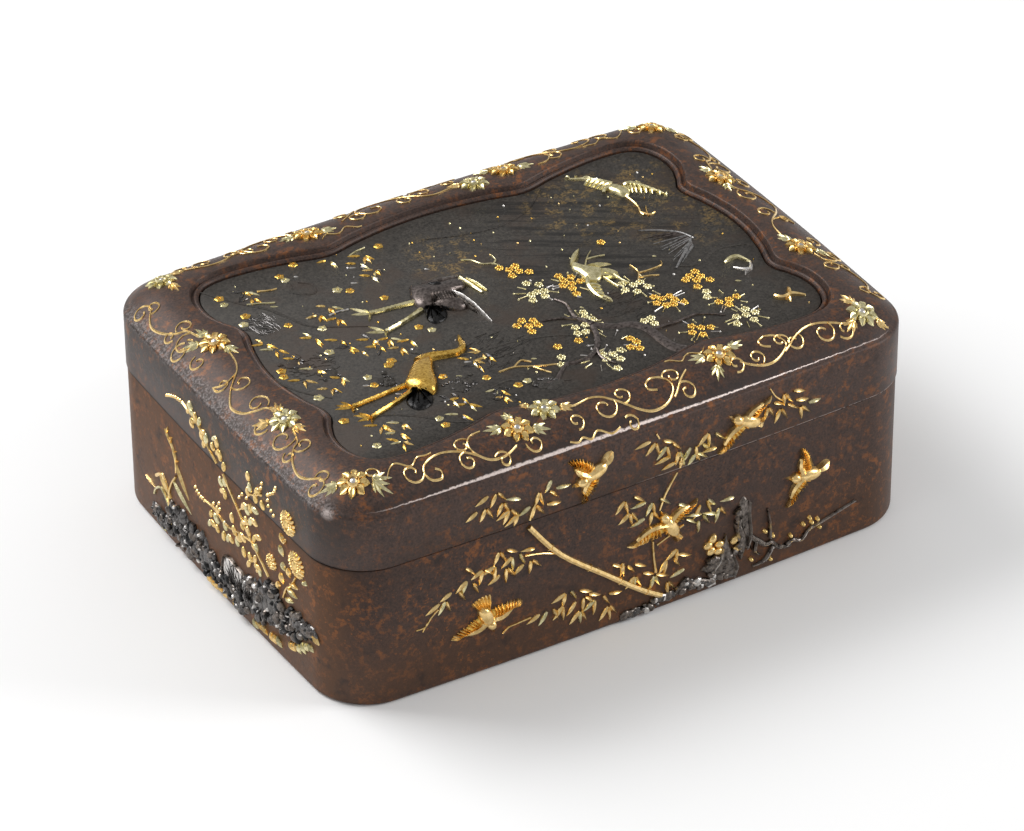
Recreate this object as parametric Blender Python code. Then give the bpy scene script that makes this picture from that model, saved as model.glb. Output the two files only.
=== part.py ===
"""Iron box with a lift-off lid, a sunk picture plate and raised metal inlays.

The origin is under the middle of the box, +X runs along the long side, the front face looks to -Y, +Z is up.
Lengths are in metres. Places of the inlays are in millimetres on a drawing of the box, and follow its size.
"""

from math import cos, hypot, pi, radians, sin

import bmesh
import bpy
from mathutils import Vector

# Driving dimensions of the box
LENGTH = 0.130
DEPTH = 0.0936
SEAM_HEIGHT = 0.0315
LIP_HEIGHT = 0.0482
CORNER_RADIUS = 0.0114
SIDE_BOW = 0.0014
END_BOW = 0.0010
FOOT_ROUNDING = 0.0010

# Walls and the joint between base and lid
BASE_INSET = 0.00025
BASE_WALL = 0.00285
BASE_FLOOR = 0.0026
FLOOR_FILLET = 0.0015
LID_WALL = 0.0016
LID_ROOF = 0.0022
LID_CLEARANCE = 0.0003
RIM_RISE = 0.0032

# Pillow shape of the lid's top
SHOULDER_DROP = 0.0050
SHOULDER_START = 0.0008
SHOULDER_INSET = 0.0006
CROWN_WIDTH = 0.0110
CROWN_POWER = 2.4

# Moulding round the picture plate, measured in and down from the lip of the opening
GROOVE_DEPTH = 0.0012
GROOVE_OFFSET = 0.0006
BEAD_RISE = 0.0005
BEAD_OFFSET = 0.0013
POCKET_OFFSET = 0.0019
PLATE_DROP = 0.0014
PLATE_THICKNESS = 0.0011
PLATE_CLEARANCE = 0.0003

# Inlays: they float a hair above the metal that carries them, and stand this proud of that
INLAY_GAP = 0.0003
LEAF_LIFT = 0.00004
WIRE_WIDTH = 0.0007
WIRE_RISE = 0.0004
LEAF_RISE = 0.0005
FLOWER_RISE = 0.0008
FIGURE_RISE = 0.0012

# Steps round a quarter of the box: along the side, round the corner, along the end
STEPS = (6, 5, 5)

# The drawing the places are read from: its length, depth, seam and lip in millimetres
DRAWING = (130.0, 93.6, 31.5, 48.2)

# One quarter of the bracket-shaped opening, from the middle of the back to the middle of the right end
OPENING_QUARTER = [
    (0.0, 37.2), (8.5, 36.7), (16.0, 35.5), (22.5, 34.1), (29.0, 35.6), (37.0, 37.0),
    (44.5, 37.4), (49.2, 36.6), (52.3, 34.5), (54.1, 31.4), (54.9, 27.6),
    (54.6, 23.4), (53.2, 19.6), (51.7, 16.2), (53.2, 11.0), (54.4, 5.0), (54.7, 0.0),
]

# The scrolling vines of the lid's border: stems with the size and sense of the curl at their end (size 0 for
# none), and side curls as start, heading, size, sense
VINES = {
    "front_left": (
        [([(-30.0, -38.2), (-33.3, -40.4), (-32.9, -42.7), (-30.8, -44.4), (-25.0, -43.8)], 0, 1),
         ([(-31.6, -43.9), (-34.0, -42.1), (-37.0, -40.4), (-40.3, -40.0)], 4.6, 1)],
        [(-35.0, -41.5), 190, 3.2, 1], [(-42.0, -41.0), 225, 4.4, -1],
    ),
    "front_middle": (
        [([(-10.2, -39.7), (-6.5, -39.1), (-2.2, -41.4), (1.6, -44.6), (6.5, -45.6), (10.0, -43.4)], 4.6, 1),
         ([(15.8, -39.9), (12.6, -42.0), (9.2, -44.4)], 0, 1)],
        [(-2.2, -41.4), -65, 4.6, -1], [(12.3, -42.3), 10, 3.4, -1],
    ),
    "front_right": (
        [([(26.4, -42.8), (29.0, -44.5), (33.3, -44.5), (36.4, -42.4)], 4.8, 1),
         ([(51.0, -42.2), (47.4, -40.6), (42.5, -39.9), (36.2, -43.0)], 0, 1)],
        [(46.0, -40.3), -50, 4.2, -1], [(38.6, -41.7), -40, 3.6, 1],
    ),
    "left_front": (
        [([(-59.6, -18.6), (-61.2, -23.6), (-63.2, -28.6), (-61.3, -33.7)], 3.5, -1)],
        [(-60.2, -20.9), -125, 4.6, -1], [(-61.0, -23.4), -70, 3.6, 1],
    ),
    "left_middle": (
        [([(-57.6, 10.2), (-58.4, 4.2), (-61.2, 1.2), (-63.2, -2.4), (-62.8, -6.6), (-60.4, -9.0)], 3.8, 1)],
        [(-61.2, 1.2), -90, 3.7, 1], [(-58.8, 3.4), 200, 3.4, 1],
    ),
}

# Flowers of the border: its own corner and the opposite one, centres, leaf tips
BORDER_FLOWERS = [
    ("front_left", "back_right", [(-57.2, -39.0)], [(-61.4, -37.0), (-52.4, -42.6)]),
    ("front_inner_left", "back_inner_right", [(-22.6, -40.4), (-15.6, -38.4)], [(-15.6, -38.4), (-11.0, -40.4)]),
    ("front_inner_right", "back_inner_left", [(23.1, -39.4)], [(18.5, -38.6), (27.8, -39.4)]),
    ("front_right", "back_left", [(55.6, -40.2)], [(54.8, -35.4), (51.2, -42.8)]),
    ("left_front", "right_rear", [(-58.5, -14.9)], [(-58.0, -10.2), (-56.8, -19.4)]),
    ("left_rear", "right_front", [(-57.4, 15.0)], [(-61.6, 17.4), (-55.4, 10.6)]),
]

# Birds on the wing on the front: body, point the head looks to, wing tips, tail tip
SPARROWS = [
    ("sparrow_lid_left", (-10.1, 38.4), (-14.9, 36.9), [(-15.1, 41.6), (-12.6, 33.0)], (-6.4, 41.2)),
    ("sparrow_lid_right", (24.4, 37.2), (21.2, 39.2), [(28.3, 41.0), (18.3, 32.8)], (27.8, 35.4)),
    ("sparrow_base_right", (39.2, 19.4), (34.8, 19.6), [(37.0, 24.4), (34.2, 14.4)], (44.2, 20.2)),
    ("sparrow_base_middle", (6.6, 18.8), (5.4, 22.4), [(10.6, 22.6), (-0.8, 18.4)], (9.2, 14.8)),
    ("sparrow_base_left", (-34.4, 13.4), (-32.4, 10.4), [(-41.2, 10.9), (-27.2, 13.6)], (-35.0, 17.8)),
]


def clear_scene():
    for thing in list(bpy.data.objects):
        bpy.data.objects.remove(thing)


def metal(name, colour, roughness, metallic):
    made = bpy.data.materials.get(name) or bpy.data.materials.new(name)
    made.use_nodes = True
    shader = made.node_tree.nodes["Principled BSDF"]
    shader.inputs["Base Color"].default_value = (*colour, 1)
    shader.inputs["Roughness"].default_value = roughness
    shader.inputs["Metallic"].default_value = metallic
    return made


def russet_iron():
    return metal("russet_iron", (0.070, 0.045, 0.037), 0.5, 0.6)


def dark_plate():
    return metal("dark_plate", (0.055, 0.050, 0.042), 0.45, 0.7)


def gold():
    return metal("gold", (0.62, 0.40, 0.12), 0.3, 1)


def pale_gold():
    return metal("pale_gold", (0.55, 0.46, 0.22), 0.32, 1)


def silver():
    return metal("silver", (0.34, 0.32, 0.30), 0.35, 1)


def add_mesh(name, points, faces, material):
    """One object from its points and faces, with the faces turned outwards."""
    mesh = bpy.data.meshes.new(name)
    work = bmesh.new()
    corners = [work.verts.new(point) for point in points]
    for face in faces:
        work.faces.new([corners[i] for i in face])
    bmesh.ops.recalc_face_normals(work, faces=work.faces)
    work.to_mesh(mesh)
    work.free()
    mesh.materials.append(material)
    made = bpy.data.objects.new(name, mesh)
    bpy.context.scene.collection.objects.link(made)
    return made


def fuse(name, shapes, material):
    """One closed body from overlapping shapes."""
    whole = add_mesh(name, *shapes[0], material)
    if len(shapes) == 1:
        return whole
    points = []
    faces = []
    for more_points, more_faces in shapes[1:]:
        faces += [[i + len(points) for i in one] for one in more_faces]
        points += more_points
    rest = add_mesh(name + "_rest", points, faces, material)
    union = whole.modifiers.new("union", "BOOLEAN")
    union.operation = "UNION"
    union.solver = "EXACT"
    union.use_self = True
    union.object = rest
    evaluated = whole.evaluated_get(bpy.context.evaluated_depsgraph_get())
    joined = bpy.data.meshes.new_from_object(evaluated)
    whole.modifiers.clear()
    whole.data = joined
    bpy.data.objects.remove(rest)
    return whole


def scaled(x, y):
    """A place of the drawing in metres on the box seen from above."""
    return x * LENGTH / DRAWING[0], y * DEPTH / DRAWING[1]


def mirrored(quarter):
    """A closed outline from one quarter that runs from the +Y axis to the +X axis."""
    right_back = quarter[:-1]
    right_front = [(x, -y) for x, y in reversed(quarter[1:])]
    left_front = [(-x, -y) for x, y in right_back]
    left_back = [(-x, y) for x, y in reversed(quarter[1:])]
    return right_back + right_front + left_front + left_back


def bowed(x, y):
    """Moves a point of a plain rounded rectangle out with the bow of the sides."""
    fall_x = 1 - (x / (LENGTH / 2)) ** 2
    fall_y = 1 - (y / (DEPTH / 2)) ** 2
    return x * (1 + 2 * END_BOW / LENGTH * fall_y), y * (1 + 2 * SIDE_BOW / DEPTH * fall_x)


def plan(inset):
    """The box's outline, moved in by inset."""
    side, corner, end = STEPS
    half_x = LENGTH / 2 - inset
    half_y = DEPTH / 2 - inset
    radius = CORNER_RADIUS - min(inset, 0.8 * CORNER_RADIUS)
    quarter = [((half_x - radius) * i / side, half_y) for i in range(side)]
    for i in range(corner + 1):
        turn = pi / 2 * (1 - i / corner)
        quarter.append((half_x - radius + radius * cos(turn), half_y - radius + radius * sin(turn)))
    quarter += [(half_x, (half_y - radius) * (1 - i / end)) for i in range(1, end + 1)]
    return [bowed(x, y) for x, y in mirrored(quarter)]


def opening(inset):
    """The bracket outline of the opening, moved in by inset."""
    whole = mirrored([scaled(x, y) for x, y in OPENING_QUARTER])
    outline = []
    for i, (x, y) in enumerate(whole):
        before = whole[i - 1]
        after = whole[(i + 1) % len(whole)]
        size = hypot(after[0] - before[0], after[1] - before[1])
        outline.append((x + (after[1] - before[1]) / size * inset, y - (after[0] - before[0]) / size * inset))
    return outline


def spline(points, steps):
    """Points of a smooth curve through the given ones, steps to each stretch."""
    curve = []
    for i in range(len(points) - 1):
        around = [points[min(max(k, 0), len(points) - 1)] for k in (i - 1, i, i + 1, i + 2)]
        curve += [spline_point(around, j / steps) for j in range(steps)]
    return curve + [points[-1]]


def spline_point(around, t):
    shares = (-t + 2 * t**2 - t**3, 2 - 5 * t**2 + 3 * t**3, t + 4 * t**2 - 3 * t**3, -(t**2) + t**3)
    return tuple(sum(s * p[axis] for s, p in zip(shares, around)) / 2 for axis in (0, 1))


def crown(x, y):
    """Height of the lid's top."""
    flat_x = x / (1 + 2 * END_BOW / LENGTH * (1 - (y / (DEPTH / 2)) ** 2))
    flat_y = y / (1 + 2 * SIDE_BOW / DEPTH * (1 - (x / (LENGTH / 2)) ** 2))
    past_x = abs(flat_x) - (LENGTH / 2 - CORNER_RADIUS)
    past_y = abs(flat_y) - (DEPTH / 2 - CORNER_RADIUS)
    inset = CORNER_RADIUS - hypot(max(past_x, 0), max(past_y, 0)) - min(max(past_x, past_y), 0)
    share = min(max((inset - SHOULDER_INSET) / CROWN_WIDTH, 0), 1)
    return LIP_HEIGHT - (SHOULDER_DROP - SHOULDER_START) * (1 - share) ** CROWN_POWER


def ring(outline, height):
    return [Vector((x, y, height)) for x, y in outline]


def shell(name, rings, material):
    """A closed solid from rings of equal length, capped at the first and the last."""
    count = len(rings[0])
    points = [point for one in rings for point in one]
    faces = [list(range(count)), list(range(len(points) - count, len(points)))]
    for k in range(len(rings) - 1):
        for i in range(count):
            j = (i + 1) % count
            faces.append((k * count + i, k * count + j, (k + 1) * count + j, (k + 1) * count + i))
    return add_mesh(name, points, faces, material)


def build_base():
    hollow = BASE_INSET + BASE_WALL
    rim = LID_WALL + LID_CLEARANCE
    rings = [
        ring(plan(hollow + FLOOR_FILLET), BASE_FLOOR),
        ring(plan(hollow), BASE_FLOOR + FLOOR_FILLET),
        ring(plan(hollow), SEAM_HEIGHT + RIM_RISE),
        ring(plan(rim), SEAM_HEIGHT + RIM_RISE),
        ring(plan(rim), SEAM_HEIGHT),
        ring(plan(BASE_INSET), SEAM_HEIGHT),
        ring(plan(BASE_INSET), FOOT_ROUNDING),
        ring(plan(BASE_INSET + FOOT_ROUNDING), 0),
    ]
    return shell("base", rings, russet_iron())


def plate_top():
    return LIP_HEIGHT - PLATE_DROP


def pocket_floor():
    return plate_top() - PLATE_THICKNESS - PLATE_CLEARANCE


def build_lid():
    roof = pocket_floor() - LID_ROOF
    rings = [
        ring(plan(LID_WALL + FLOOR_FILLET), roof),
        ring(plan(LID_WALL), roof - FLOOR_FILLET),
        ring(plan(LID_WALL), SEAM_HEIGHT + LID_CLEARANCE),
        ring(plan(0), SEAM_HEIGHT + LID_CLEARANCE),
        ring(plan(0), LIP_HEIGHT - SHOULDER_DROP),
    ]
    arris = plan(SHOULDER_INSET)
    lip = opening(0)
    for share in (0, 0.2, 0.5, 1):
        blend = [(a[0] + (b[0] - a[0]) * share, a[1] + (b[1] - a[1]) * share) for a, b in zip(arris, lip)]
        rings.append([Vector((x, y, crown(x, y))) for x, y in blend])
    groove = LIP_HEIGHT - GROOVE_DEPTH
    rings += [
        ring(opening(GROOVE_OFFSET), groove),
        ring(opening(BEAD_OFFSET), groove + BEAD_RISE),
        ring(opening(POCKET_OFFSET), groove),
        ring(opening(POCKET_OFFSET), pocket_floor()),
    ]
    return shell("lid", rings, russet_iron())


def build_plate():
    outline = opening(POCKET_OFFSET + PLATE_CLEARANCE)
    rings = [ring(outline, pocket_floor() + PLATE_CLEARANCE), ring(outline, plate_top())]
    return shell("picture_plate", rings, dark_plate())


# Faces that carry inlays: each takes two places on the drawing and a distance out of the face

def wall_height(z):
    seam, lip = DRAWING[2], DRAWING[3]
    if z <= seam:
        return z * SEAM_HEIGHT / seam
    return SEAM_HEIGHT + (z - seam) * (LIP_HEIGHT - SEAM_HEIGHT) / (lip - seam)


def side_reach(x):
    return DEPTH / 2 + SIDE_BOW * (1 - (2 * x / DRAWING[0]) ** 2)


def end_reach(y):
    return LENGTH / 2 + END_BOW * (1 - (2 * y / DRAWING[1]) ** 2)


def on_front(x, z, out):
    return Vector((scaled(x, 0)[0], -side_reach(x) - out, wall_height(z)))


def on_back(x, z, out):
    return Vector((scaled(x, 0)[0], side_reach(x) + out, wall_height(z)))


def on_left(y, z, out):
    return Vector((-end_reach(y) - out, scaled(0, y)[1], wall_height(z)))


def on_right(y, z, out):
    return Vector((end_reach(y) + out, scaled(0, y)[1], wall_height(z)))


def on_border(x, y, out):
    place = scaled(x, y)
    return Vector((*place, crown(*place) + out))


def on_plate(x, y, out):
    return Vector((*scaled(x, y), plate_top() + out))


# Shapes of the inlays: each returns its points and faces, widths and lengths are in millimetres

def polar(centre, radius, turn, squash=1.0, tilt=0.0):
    x = radius * cos(turn)
    y = radius * squash * sin(turn)
    return centre[0] + x * cos(tilt) - y * sin(tilt), centre[1] + x * sin(tilt) + y * cos(tilt)


def heading_of(start, end):
    """Angle in degrees of the way from start to end."""
    run = Vector((end[0] - start[0], end[1] - start[1]))
    return -Vector((1, 0)).angle_signed(run, 0.0) * 180 / pi


def leaf(face, root, tip, width, rise=LEAF_RISE):
    """A lozenge leaf with a raised rib."""
    run = (tip[0] - root[0], tip[1] - root[1])
    size = hypot(*run)
    side = (-run[1] / size * width / 2, run[0] / size * width / 2)
    middle = (root[0] + 0.45 * run[0], root[1] + 0.45 * run[1])
    flat = [root, (middle[0] + side[0], middle[1] + side[1]), tip, (middle[0] - side[0], middle[1] - side[1])]
    points = [face(x, y, INLAY_GAP + LEAF_LIFT) for x, y in flat]
    points.append(face(*middle, INLAY_GAP + rise))
    return points, [(2, 1, 0), (3, 2, 0), (0, 1, 4), (1, 2, 4), (2, 3, 4), (3, 0, 4)]


def wire(face, path, width=WIRE_WIDTH / 0.001, rise=WIRE_RISE):
    """A thin strip with a ridged top along a path."""
    points = []
    for i, (x, y) in enumerate(path):
        before = path[max(i - 1, 0)]
        after = path[min(i + 1, len(path) - 1)]
        run = (after[0] - before[0], after[1] - before[1])
        size = hypot(*run)
        side = (-run[1] / size * width / 2, run[0] / size * width / 2)
        points.append(face(x + side[0], y + side[1], INLAY_GAP))
        points.append(face(x - side[0], y - side[1], INLAY_GAP))
        points.append(face(x, y, INLAY_GAP + rise))
    last = len(points) - 3
    faces = [(0, 1, 2), (last, last + 2, last + 1)]
    for k in range(0, last, 3):
        for a, b in ((0, 1), (1, 2), (2, 0)):
            faces += [(k + a, k + 3 + a, k + 3 + b), (k + a, k + 3 + b, k + b)]
    return points, faces


def stacked(face, rings, top):
    """A closed relief from rings of (outline, height) and the point on top."""
    count = len(rings[0][0])
    points = [face(x, y, height) for outline, height in rings for x, y in outline]
    last = len(points) - count
    points += [face(*top[0], top[1]), face(*top[0], rings[0][1])]
    faces = []
    for i in range(count):
        j = (i + 1) % count
        faces.append((j, i, len(points) - 1))
        faces.append((last + i, last + j, len(points) - 2))
        for k in range(0, last, count):
            faces += [(k + i, k + j, k + count + j), (k + i, k + count + j, k + count + i)]
    return points, faces


def dome(face, centre, length, width, heading, rise=FIGURE_RISE, sides=8):
    """A rounded body, its long way turned to heading in degrees."""
    tilt = radians(heading)
    turns = [2 * pi * i / sides for i in range(sides)]
    foot = [polar(centre, length / 2, turn, width / length, tilt) for turn in turns]
    waist = [polar(centre, 0.36 * length, turn, width / length, tilt) for turn in turns]
    return stacked(face, [(foot, INLAY_GAP), (waist, INLAY_GAP + 0.8 * rise)], (centre, INLAY_GAP + rise))


def flower(face, centre, radius=3.1, petals=8):
    """A flower of pointed petals that rise to the middle."""
    turns = [pi * i / petals for i in range(2 * petals)]
    edge = [polar(centre, radius * (1 if i % 2 else 0.7), turn) for i, turn in enumerate(turns)]
    return stacked(face, [(edge, INLAY_GAP)], (centre, INLAY_GAP + FLOWER_RISE))


def floret(face, centre, radius=0.95, rise=0.0006):
    """One small plum blossom."""
    foot = [polar(centre, radius, 2 * pi * i / 5) for i in range(5)]
    return stacked(face, [(foot, INLAY_GAP)], (centre, INLAY_GAP + rise))


def curl(start, heading, size, sense, steps=5):
    """Points of a tendril that leaves start at heading and rolls up, to the left for sense 1, the right for -1."""
    turn_each = radians(300) / steps
    angle = radians(heading)
    path = [start]
    for i in range(steps):
        radius = size * (0.60 - 0.38 * i / steps)
        angle += sense * turn_each / 2
        stride = 2 * radius * sin(turn_each / 2)
        start = (start[0] + stride * cos(angle), start[1] + stride * sin(angle))
        angle += sense * turn_each / 2
        path.append(start)
    return path


def spray(face, spine, length=3.2, lean=55.0, width=1.0, steps=2):
    """A twig with narrow leaves on both sides and one at its tip."""
    path = spline(spine, steps)
    shapes = [wire(face, path, 0.6, 0.0003)]
    for i in range(1, len(path) - 1):
        heading = heading_of(path[i - 1], path[i])
        for side in (1, -1):
            turn = radians(heading + side * lean)
            shapes.append(leaf(face, polar(path[i], -0.2, turn), polar(path[i], length, turn), width))
    turn = radians(heading_of(path[-2], path[-1]) + 8)
    shapes.append(leaf(face, polar(path[-1], -1.2, turn), polar(path[-1], 0.7 * length, turn), width))
    return shapes


def sparrow(face, body, look, wings, tail):
    """A small bird on the wing, seen from above."""
    heading = heading_of(body, look)
    shapes = [dome(face, body, 5.2, 2.8, heading, sides=6)]
    shapes.append(leaf(face, body, polar(body, 4.0, radians(heading)), 2.6, 0.8 * FIGURE_RISE))
    shapes += [leaf(face, body, tip, 2.8, 0.8 * FIGURE_RISE) for tip in wings]
    shapes.append(leaf(face, body, tail, 2.2, 0.6 * FIGURE_RISE))
    return shapes


def foot_toes(ankle, reach):
    """Toes of a crane, spread away from the picture's middle."""
    start = (ankle[0] + 0.7, ankle[1])
    return [leaf(on_plate, start, polar(ankle, reach, radians(turn)), 0.9) for turn in (155, 205)]


def vine(name, turn=1, flip=1, curls=2):
    """One length of vine; turn=-1 gives the opposite side of the lid, flip=-1 the other half of its side."""
    stems, *rolls = VINES[name]
    paths = []
    for points, size, sense in stems:
        path = spline(points, 2)
        if size:
            path += curl(path[-1], heading_of(path[-2], path[-1]), size, sense)[1:]
        paths.append(path)
    paths += [curl(*roll) for roll in rolls[:curls]]
    return [wire(lambda x, y, out: on_border(x * turn, y * turn * flip, out), path) for path in paths]


def build_border():
    for name, opposite in (
        ("front_left", "back_right"), ("front_middle", "back_middle"), ("front_right", "back_left"),
        ("left_front", "right_rear"), ("left_middle", "right_middle"),
    ):
        fuse("vine_" + name, vine(name), gold())
        fuse("vine_" + opposite, vine(name, turn=-1, curls=1), gold())
    fuse("vine_left_rear", vine("left_front", flip=-1), gold())
    fuse("vine_right_front", vine("left_front", turn=-1, flip=-1, curls=1), gold())
    for name, opposite, centres, tips in BORDER_FLOWERS:
        for place, turn in ((name, 1), (opposite, -1)):
            shapes = [flower(on_border, (turn * x, turn * y)) for x, y in centres]
            for root, tip in zip((centres[0], centres[-1]), tips):
                start = (turn * root[0], turn * root[1])
                shapes.append(leaf(on_border, start, (turn * tip[0], turn * tip[1]), 2.2, 0.0007))
            fuse("flower_" + place, shapes, gold())


def build_plate_birds():
    neck = spline([(-15.4, -5.8), (-15.8, -8.8), (-18.6, -10.2), (-23.2, -9.2), (-27.0, -12.0)], 2)
    standing = [
        wire(on_plate, neck, 1.9, FIGURE_RISE),
        dome(on_plate, (-28.4, -14.8), 11.5, 7.0, 42, 1.3 * FIGURE_RISE, 10),
        dome(on_plate, (-31.8, -20.0), 6.4, 4.6, 20),
        wire(on_plate, [(-31.0, -16.0), (-37.0, -16.6), (-44.6, -16.0)], 1.1, 0.0008),
        wire(on_plate, [(-32.0, -18.6), (-37.6, -19.8), (-43.6, -21.6)], 1.1, 0.0008),
    ]
    fuse("crane_standing", standing + foot_toes((-44.4, -16.0), 3.2) + foot_toes((-43.4, -21.5), 3.2), gold())
    feeding = [
        dome(on_plate, (-12.4, 7.4), 11.0, 7.0, -8, 1.2 * FIGURE_RISE, 10),
        wire(on_plate, spline([(-10.4, 9.6), (-5.6, 10.6), (-3.4, 8.8), (-2.2, 5.4)], 2), 1.6, FIGURE_RISE),
        leaf(on_plate, (-9.4, 7.6), (-6.8, -4.6), 2.6, FIGURE_RISE),
        dome(on_plate, (-15.2, 3.6), 5.4, 4.0, 20),
        wire(on_plate, [(-15.0, 8.6), (-20.0, 9.6), (-26.0, 10.0)], 1.0, 0.0008),
        wire(on_plate, [(-15.4, 5.8), (-21.0, 4.8), (-26.2, 3.2)], 1.0, 0.0008),
    ]
    fuse("crane_feeding", feeding + foot_toes((-25.8, 10.0), 3.0) + foot_toes((-26.0, 3.3), 3.0), silver())
    gliding = [
        dome(on_plate, (19.6, 0.2), 7.4, 4.0, -35),
        leaf(on_plate, (18.8, 0.2), (16.4, -10.4), 4.2, FIGURE_RISE),
        wire(on_plate, [(19.0, 0.6), (16.8, 4.6), (21.2, 8.6)], 2.6, 0.0008),
        wire(on_plate, [(20.0, 1.2), (24.4, 0.9), (26.8, 0.0)], 0.9, 0.0008),
        wire(on_plate, [(20.6, -1.6), (22.8, -4.6), (23.4, -8.2)], 0.9, 0.0006),
    ]
    fuse("crane_gliding", gliding, pale_gold())
    soaring = [
        dome(on_plate, (38.2, 23.0), 8.2, 4.0, -48),
        leaf(on_plate, (37.8, 23.6), (33.4, 32.2), 3.4, FIGURE_RISE),
        leaf(on_plate, (38.6, 22.2), (46.6, 17.4), 3.4, FIGURE_RISE),
        leaf(on_plate, (37.6, 23.6), (34.6, 23.2), 1.8, FIGURE_RISE),
        wire(on_plate, [(38.8, 21.0), (40.2, 16.8), (40.4, 13.0)], 0.9, 0.0006),
    ]
    fuse("crane_soaring", soaring, pale_gold())
    swoop = spline([(42.4, -11.0), (44.8, -10.0), (46.8, -12.4), (45.6, -15.4), (43.6, -16.6)], 2)
    fuse("small_bird_left", [wire(on_plate, swoop, 1.1, 0.0008)], pale_gold())
    dart = spline([(44.2, -26.6), (46.0, -28.0), (48.0, -27.4), (50.0, -28.8)], 2)
    flying = [wire(on_plate, dart, 1.1, 0.0008), leaf(on_plate, (47.4, -27.8), (48.6, -24.4), 1.4)]
    fuse("small_bird_right", flying, gold())


def blossoms(name, centre, twig, material):
    """A bunch of touching florets with a twig."""
    shapes = [wire(on_plate, spline([centre] + twig, 2), 0.6, 0.0004), floret(on_plate, centre)]
    shapes += [floret(on_plate, polar(centre, 1.5, 2 * pi * i / 3)) for i in range(3)]
    fuse(name, shapes, material)


def build_blossoms():
    blossoms("blossoms_middle", (-1.9, -9.6), [(-4.4, -7.4), (-5.4, -4.6)], gold())
    blossoms("blossoms_upper", (5.8, 8.6), [(2.8, 10.4), (-0.6, 13.6)], gold())
    blossoms("blossoms_right", (34.6, -12.4), [(37.6, -11.4), (38.8, -9.4)], gold())
    blossoms("blossoms_front", (19.1, -21.2), [(16.0, -22.4), (13.6, -24.8)], pale_gold())


def build_front():
    stem = spline([(-25.0, 30.6), (-18.0, 21.8), (-8.2, 13.4), (0.0, 6.8), (4.6, 3.8)], 2)
    bamboo = [wire(on_front, stem, 1.1, 0.0008)]
    bamboo += spray(on_front, [(-17.6, 21.4), (-21.0, 23.2), (-24.6, 23.6), (-28.0, 22.2), (-31.4, 19.8)], steps=1)
    bamboo += spray(on_front, [(1.4, 5.6), (-6.0, 7.0), (-14.0, 7.6), (-22.0, 5.6), (-30.0, 6.4)], steps=1)
    fuse("bamboo_base", bamboo, gold())
    twig = spray(on_front, [(8.6, 30.8), (5.4, 27.4), (0.6, 26.2), (-4.0, 27.0)], steps=1)
    fuse("bamboo_twig_base", twig, pale_gold())
    spine = [(-17.4, 37.2), (-21.6, 36.2), (-26.4, 36.0), (-31.4, 36.8), (-36.4, 38.2)]
    fuse("bamboo_lid_left", spray(on_front, spine, steps=1), gold())
    spine = [(0.2, 37.6), (4.4, 36.4), (8.4, 36.0), (12.2, 36.4), (15.4, 37.4)]
    fuse("bamboo_lid_middle", spray(on_front, spine, steps=1), gold())
    fuse("bamboo_lid_right", spray(on_front, [(31.4, 37.0), (35.4, 38.0), (40.4, 38.4)]), gold())
    for name, *places in SPARROWS:
        fuse(name, sparrow(on_front, *places), gold())
    trunk = spline([(24.0, 19.4), (23.4, 13.0), (24.4, 8.8), (21.6, 2.4)], 2)
    bough = spline([(24.0, 9.4), (28.0, 6.8), (37.0, 4.8), (40.0, 6.4), (50.6, 8.8)], 2)
    tree = [
        wire(on_front, trunk, 2.6, 0.0011),
        wire(on_front, bough, 1.1, 0.0007),
        wire(on_front, [(30.6, 5.9), (29.6, 10.0), (29.4, 14.4)], 0.8, 0.0005),
        leaf(on_front, (22.8, 5.0), (17.0, 8.4), 2.4, 0.0010),
        leaf(on_front, (22.6, 7.0), (18.6, 12.6), 2.2, 0.0010),
    ]
    fuse("plum_tree", tree, silver())
    ground = [dome(on_front, (0.6 + 4.6 * i, 2.0 + 0.25 * i), 6.0, 2.4, 6, 0.0008, 6) for i in range(4)]
    fuse("rocks_front", ground, silver())


def build_left():
    fuse("clover_lid", spray(on_left, [(19.0, 37.0), (13.0, 38.0), (7.0, 38.4), (1.0, 37.0), (-4.6, 34.6)], 2.3, 50, 1.4, 1), gold())
    fuse("clover_base", spray(on_left, [(-5.6, 29.6), (-9.2, 25.8), (-14.0, 21.6)], 2.3, 50, 1.4), gold())
    fuse("clover_low", spray(on_left, [(9.0, 20.8), (4.0, 19.6), (-1.0, 18.8), (-6.0, 17.4)], 2.3, 50, 1.4, 1), gold())
    fuse("chrysanthemum_lid", [flower(on_left, (-28.6, 36.0), 2.5, 6)], gold())
    daisy = [
        flower(on_left, (-30.4, 26.0), 2.7, 6),
        wire(on_left, [(-30.2, 26.0), (-30.9, 20.4), (-29.2, 16.4)], 0.6, 0.0004),
        leaf(on_left, (-30.6, 20.2), (-34.8, 22.6), 1.6),
        leaf(on_left, (-30.2, 18.4), (-26.6, 21.8), 1.6),
    ]
    fuse("chrysanthemum_base", daisy, gold())
    grass = [
        wire(on_left, [(21.0, 10.6), (20.8, 18.0), (21.6, 27.2)], 0.7, 0.0005),
        leaf(on_left, (21.0, 11.6), (31.0, 14.6), 1.2),
        leaf(on_left, (21.0, 12.8), (27.4, 18.6), 1.2),
        leaf(on_left, (20.9, 15.4), (12.6, 14.8), 1.2),
        leaf(on_left, (20.9, 18.0), (14.6, 21.4), 1.2),
    ]
    fuse("pampas_grass", grass, gold())
    rocks = []
    for i in range(11):
        place = (27.0 - 5.9 * i, 5.2 + 0.6 * i + 0.6 * sin(1.6 * i))
        rocks.append(dome(on_left, place, 8.4, 5.2, 12 * (i % 3), FIGURE_RISE, 6))
    fuse("rocks_left", rocks, silver())


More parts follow.
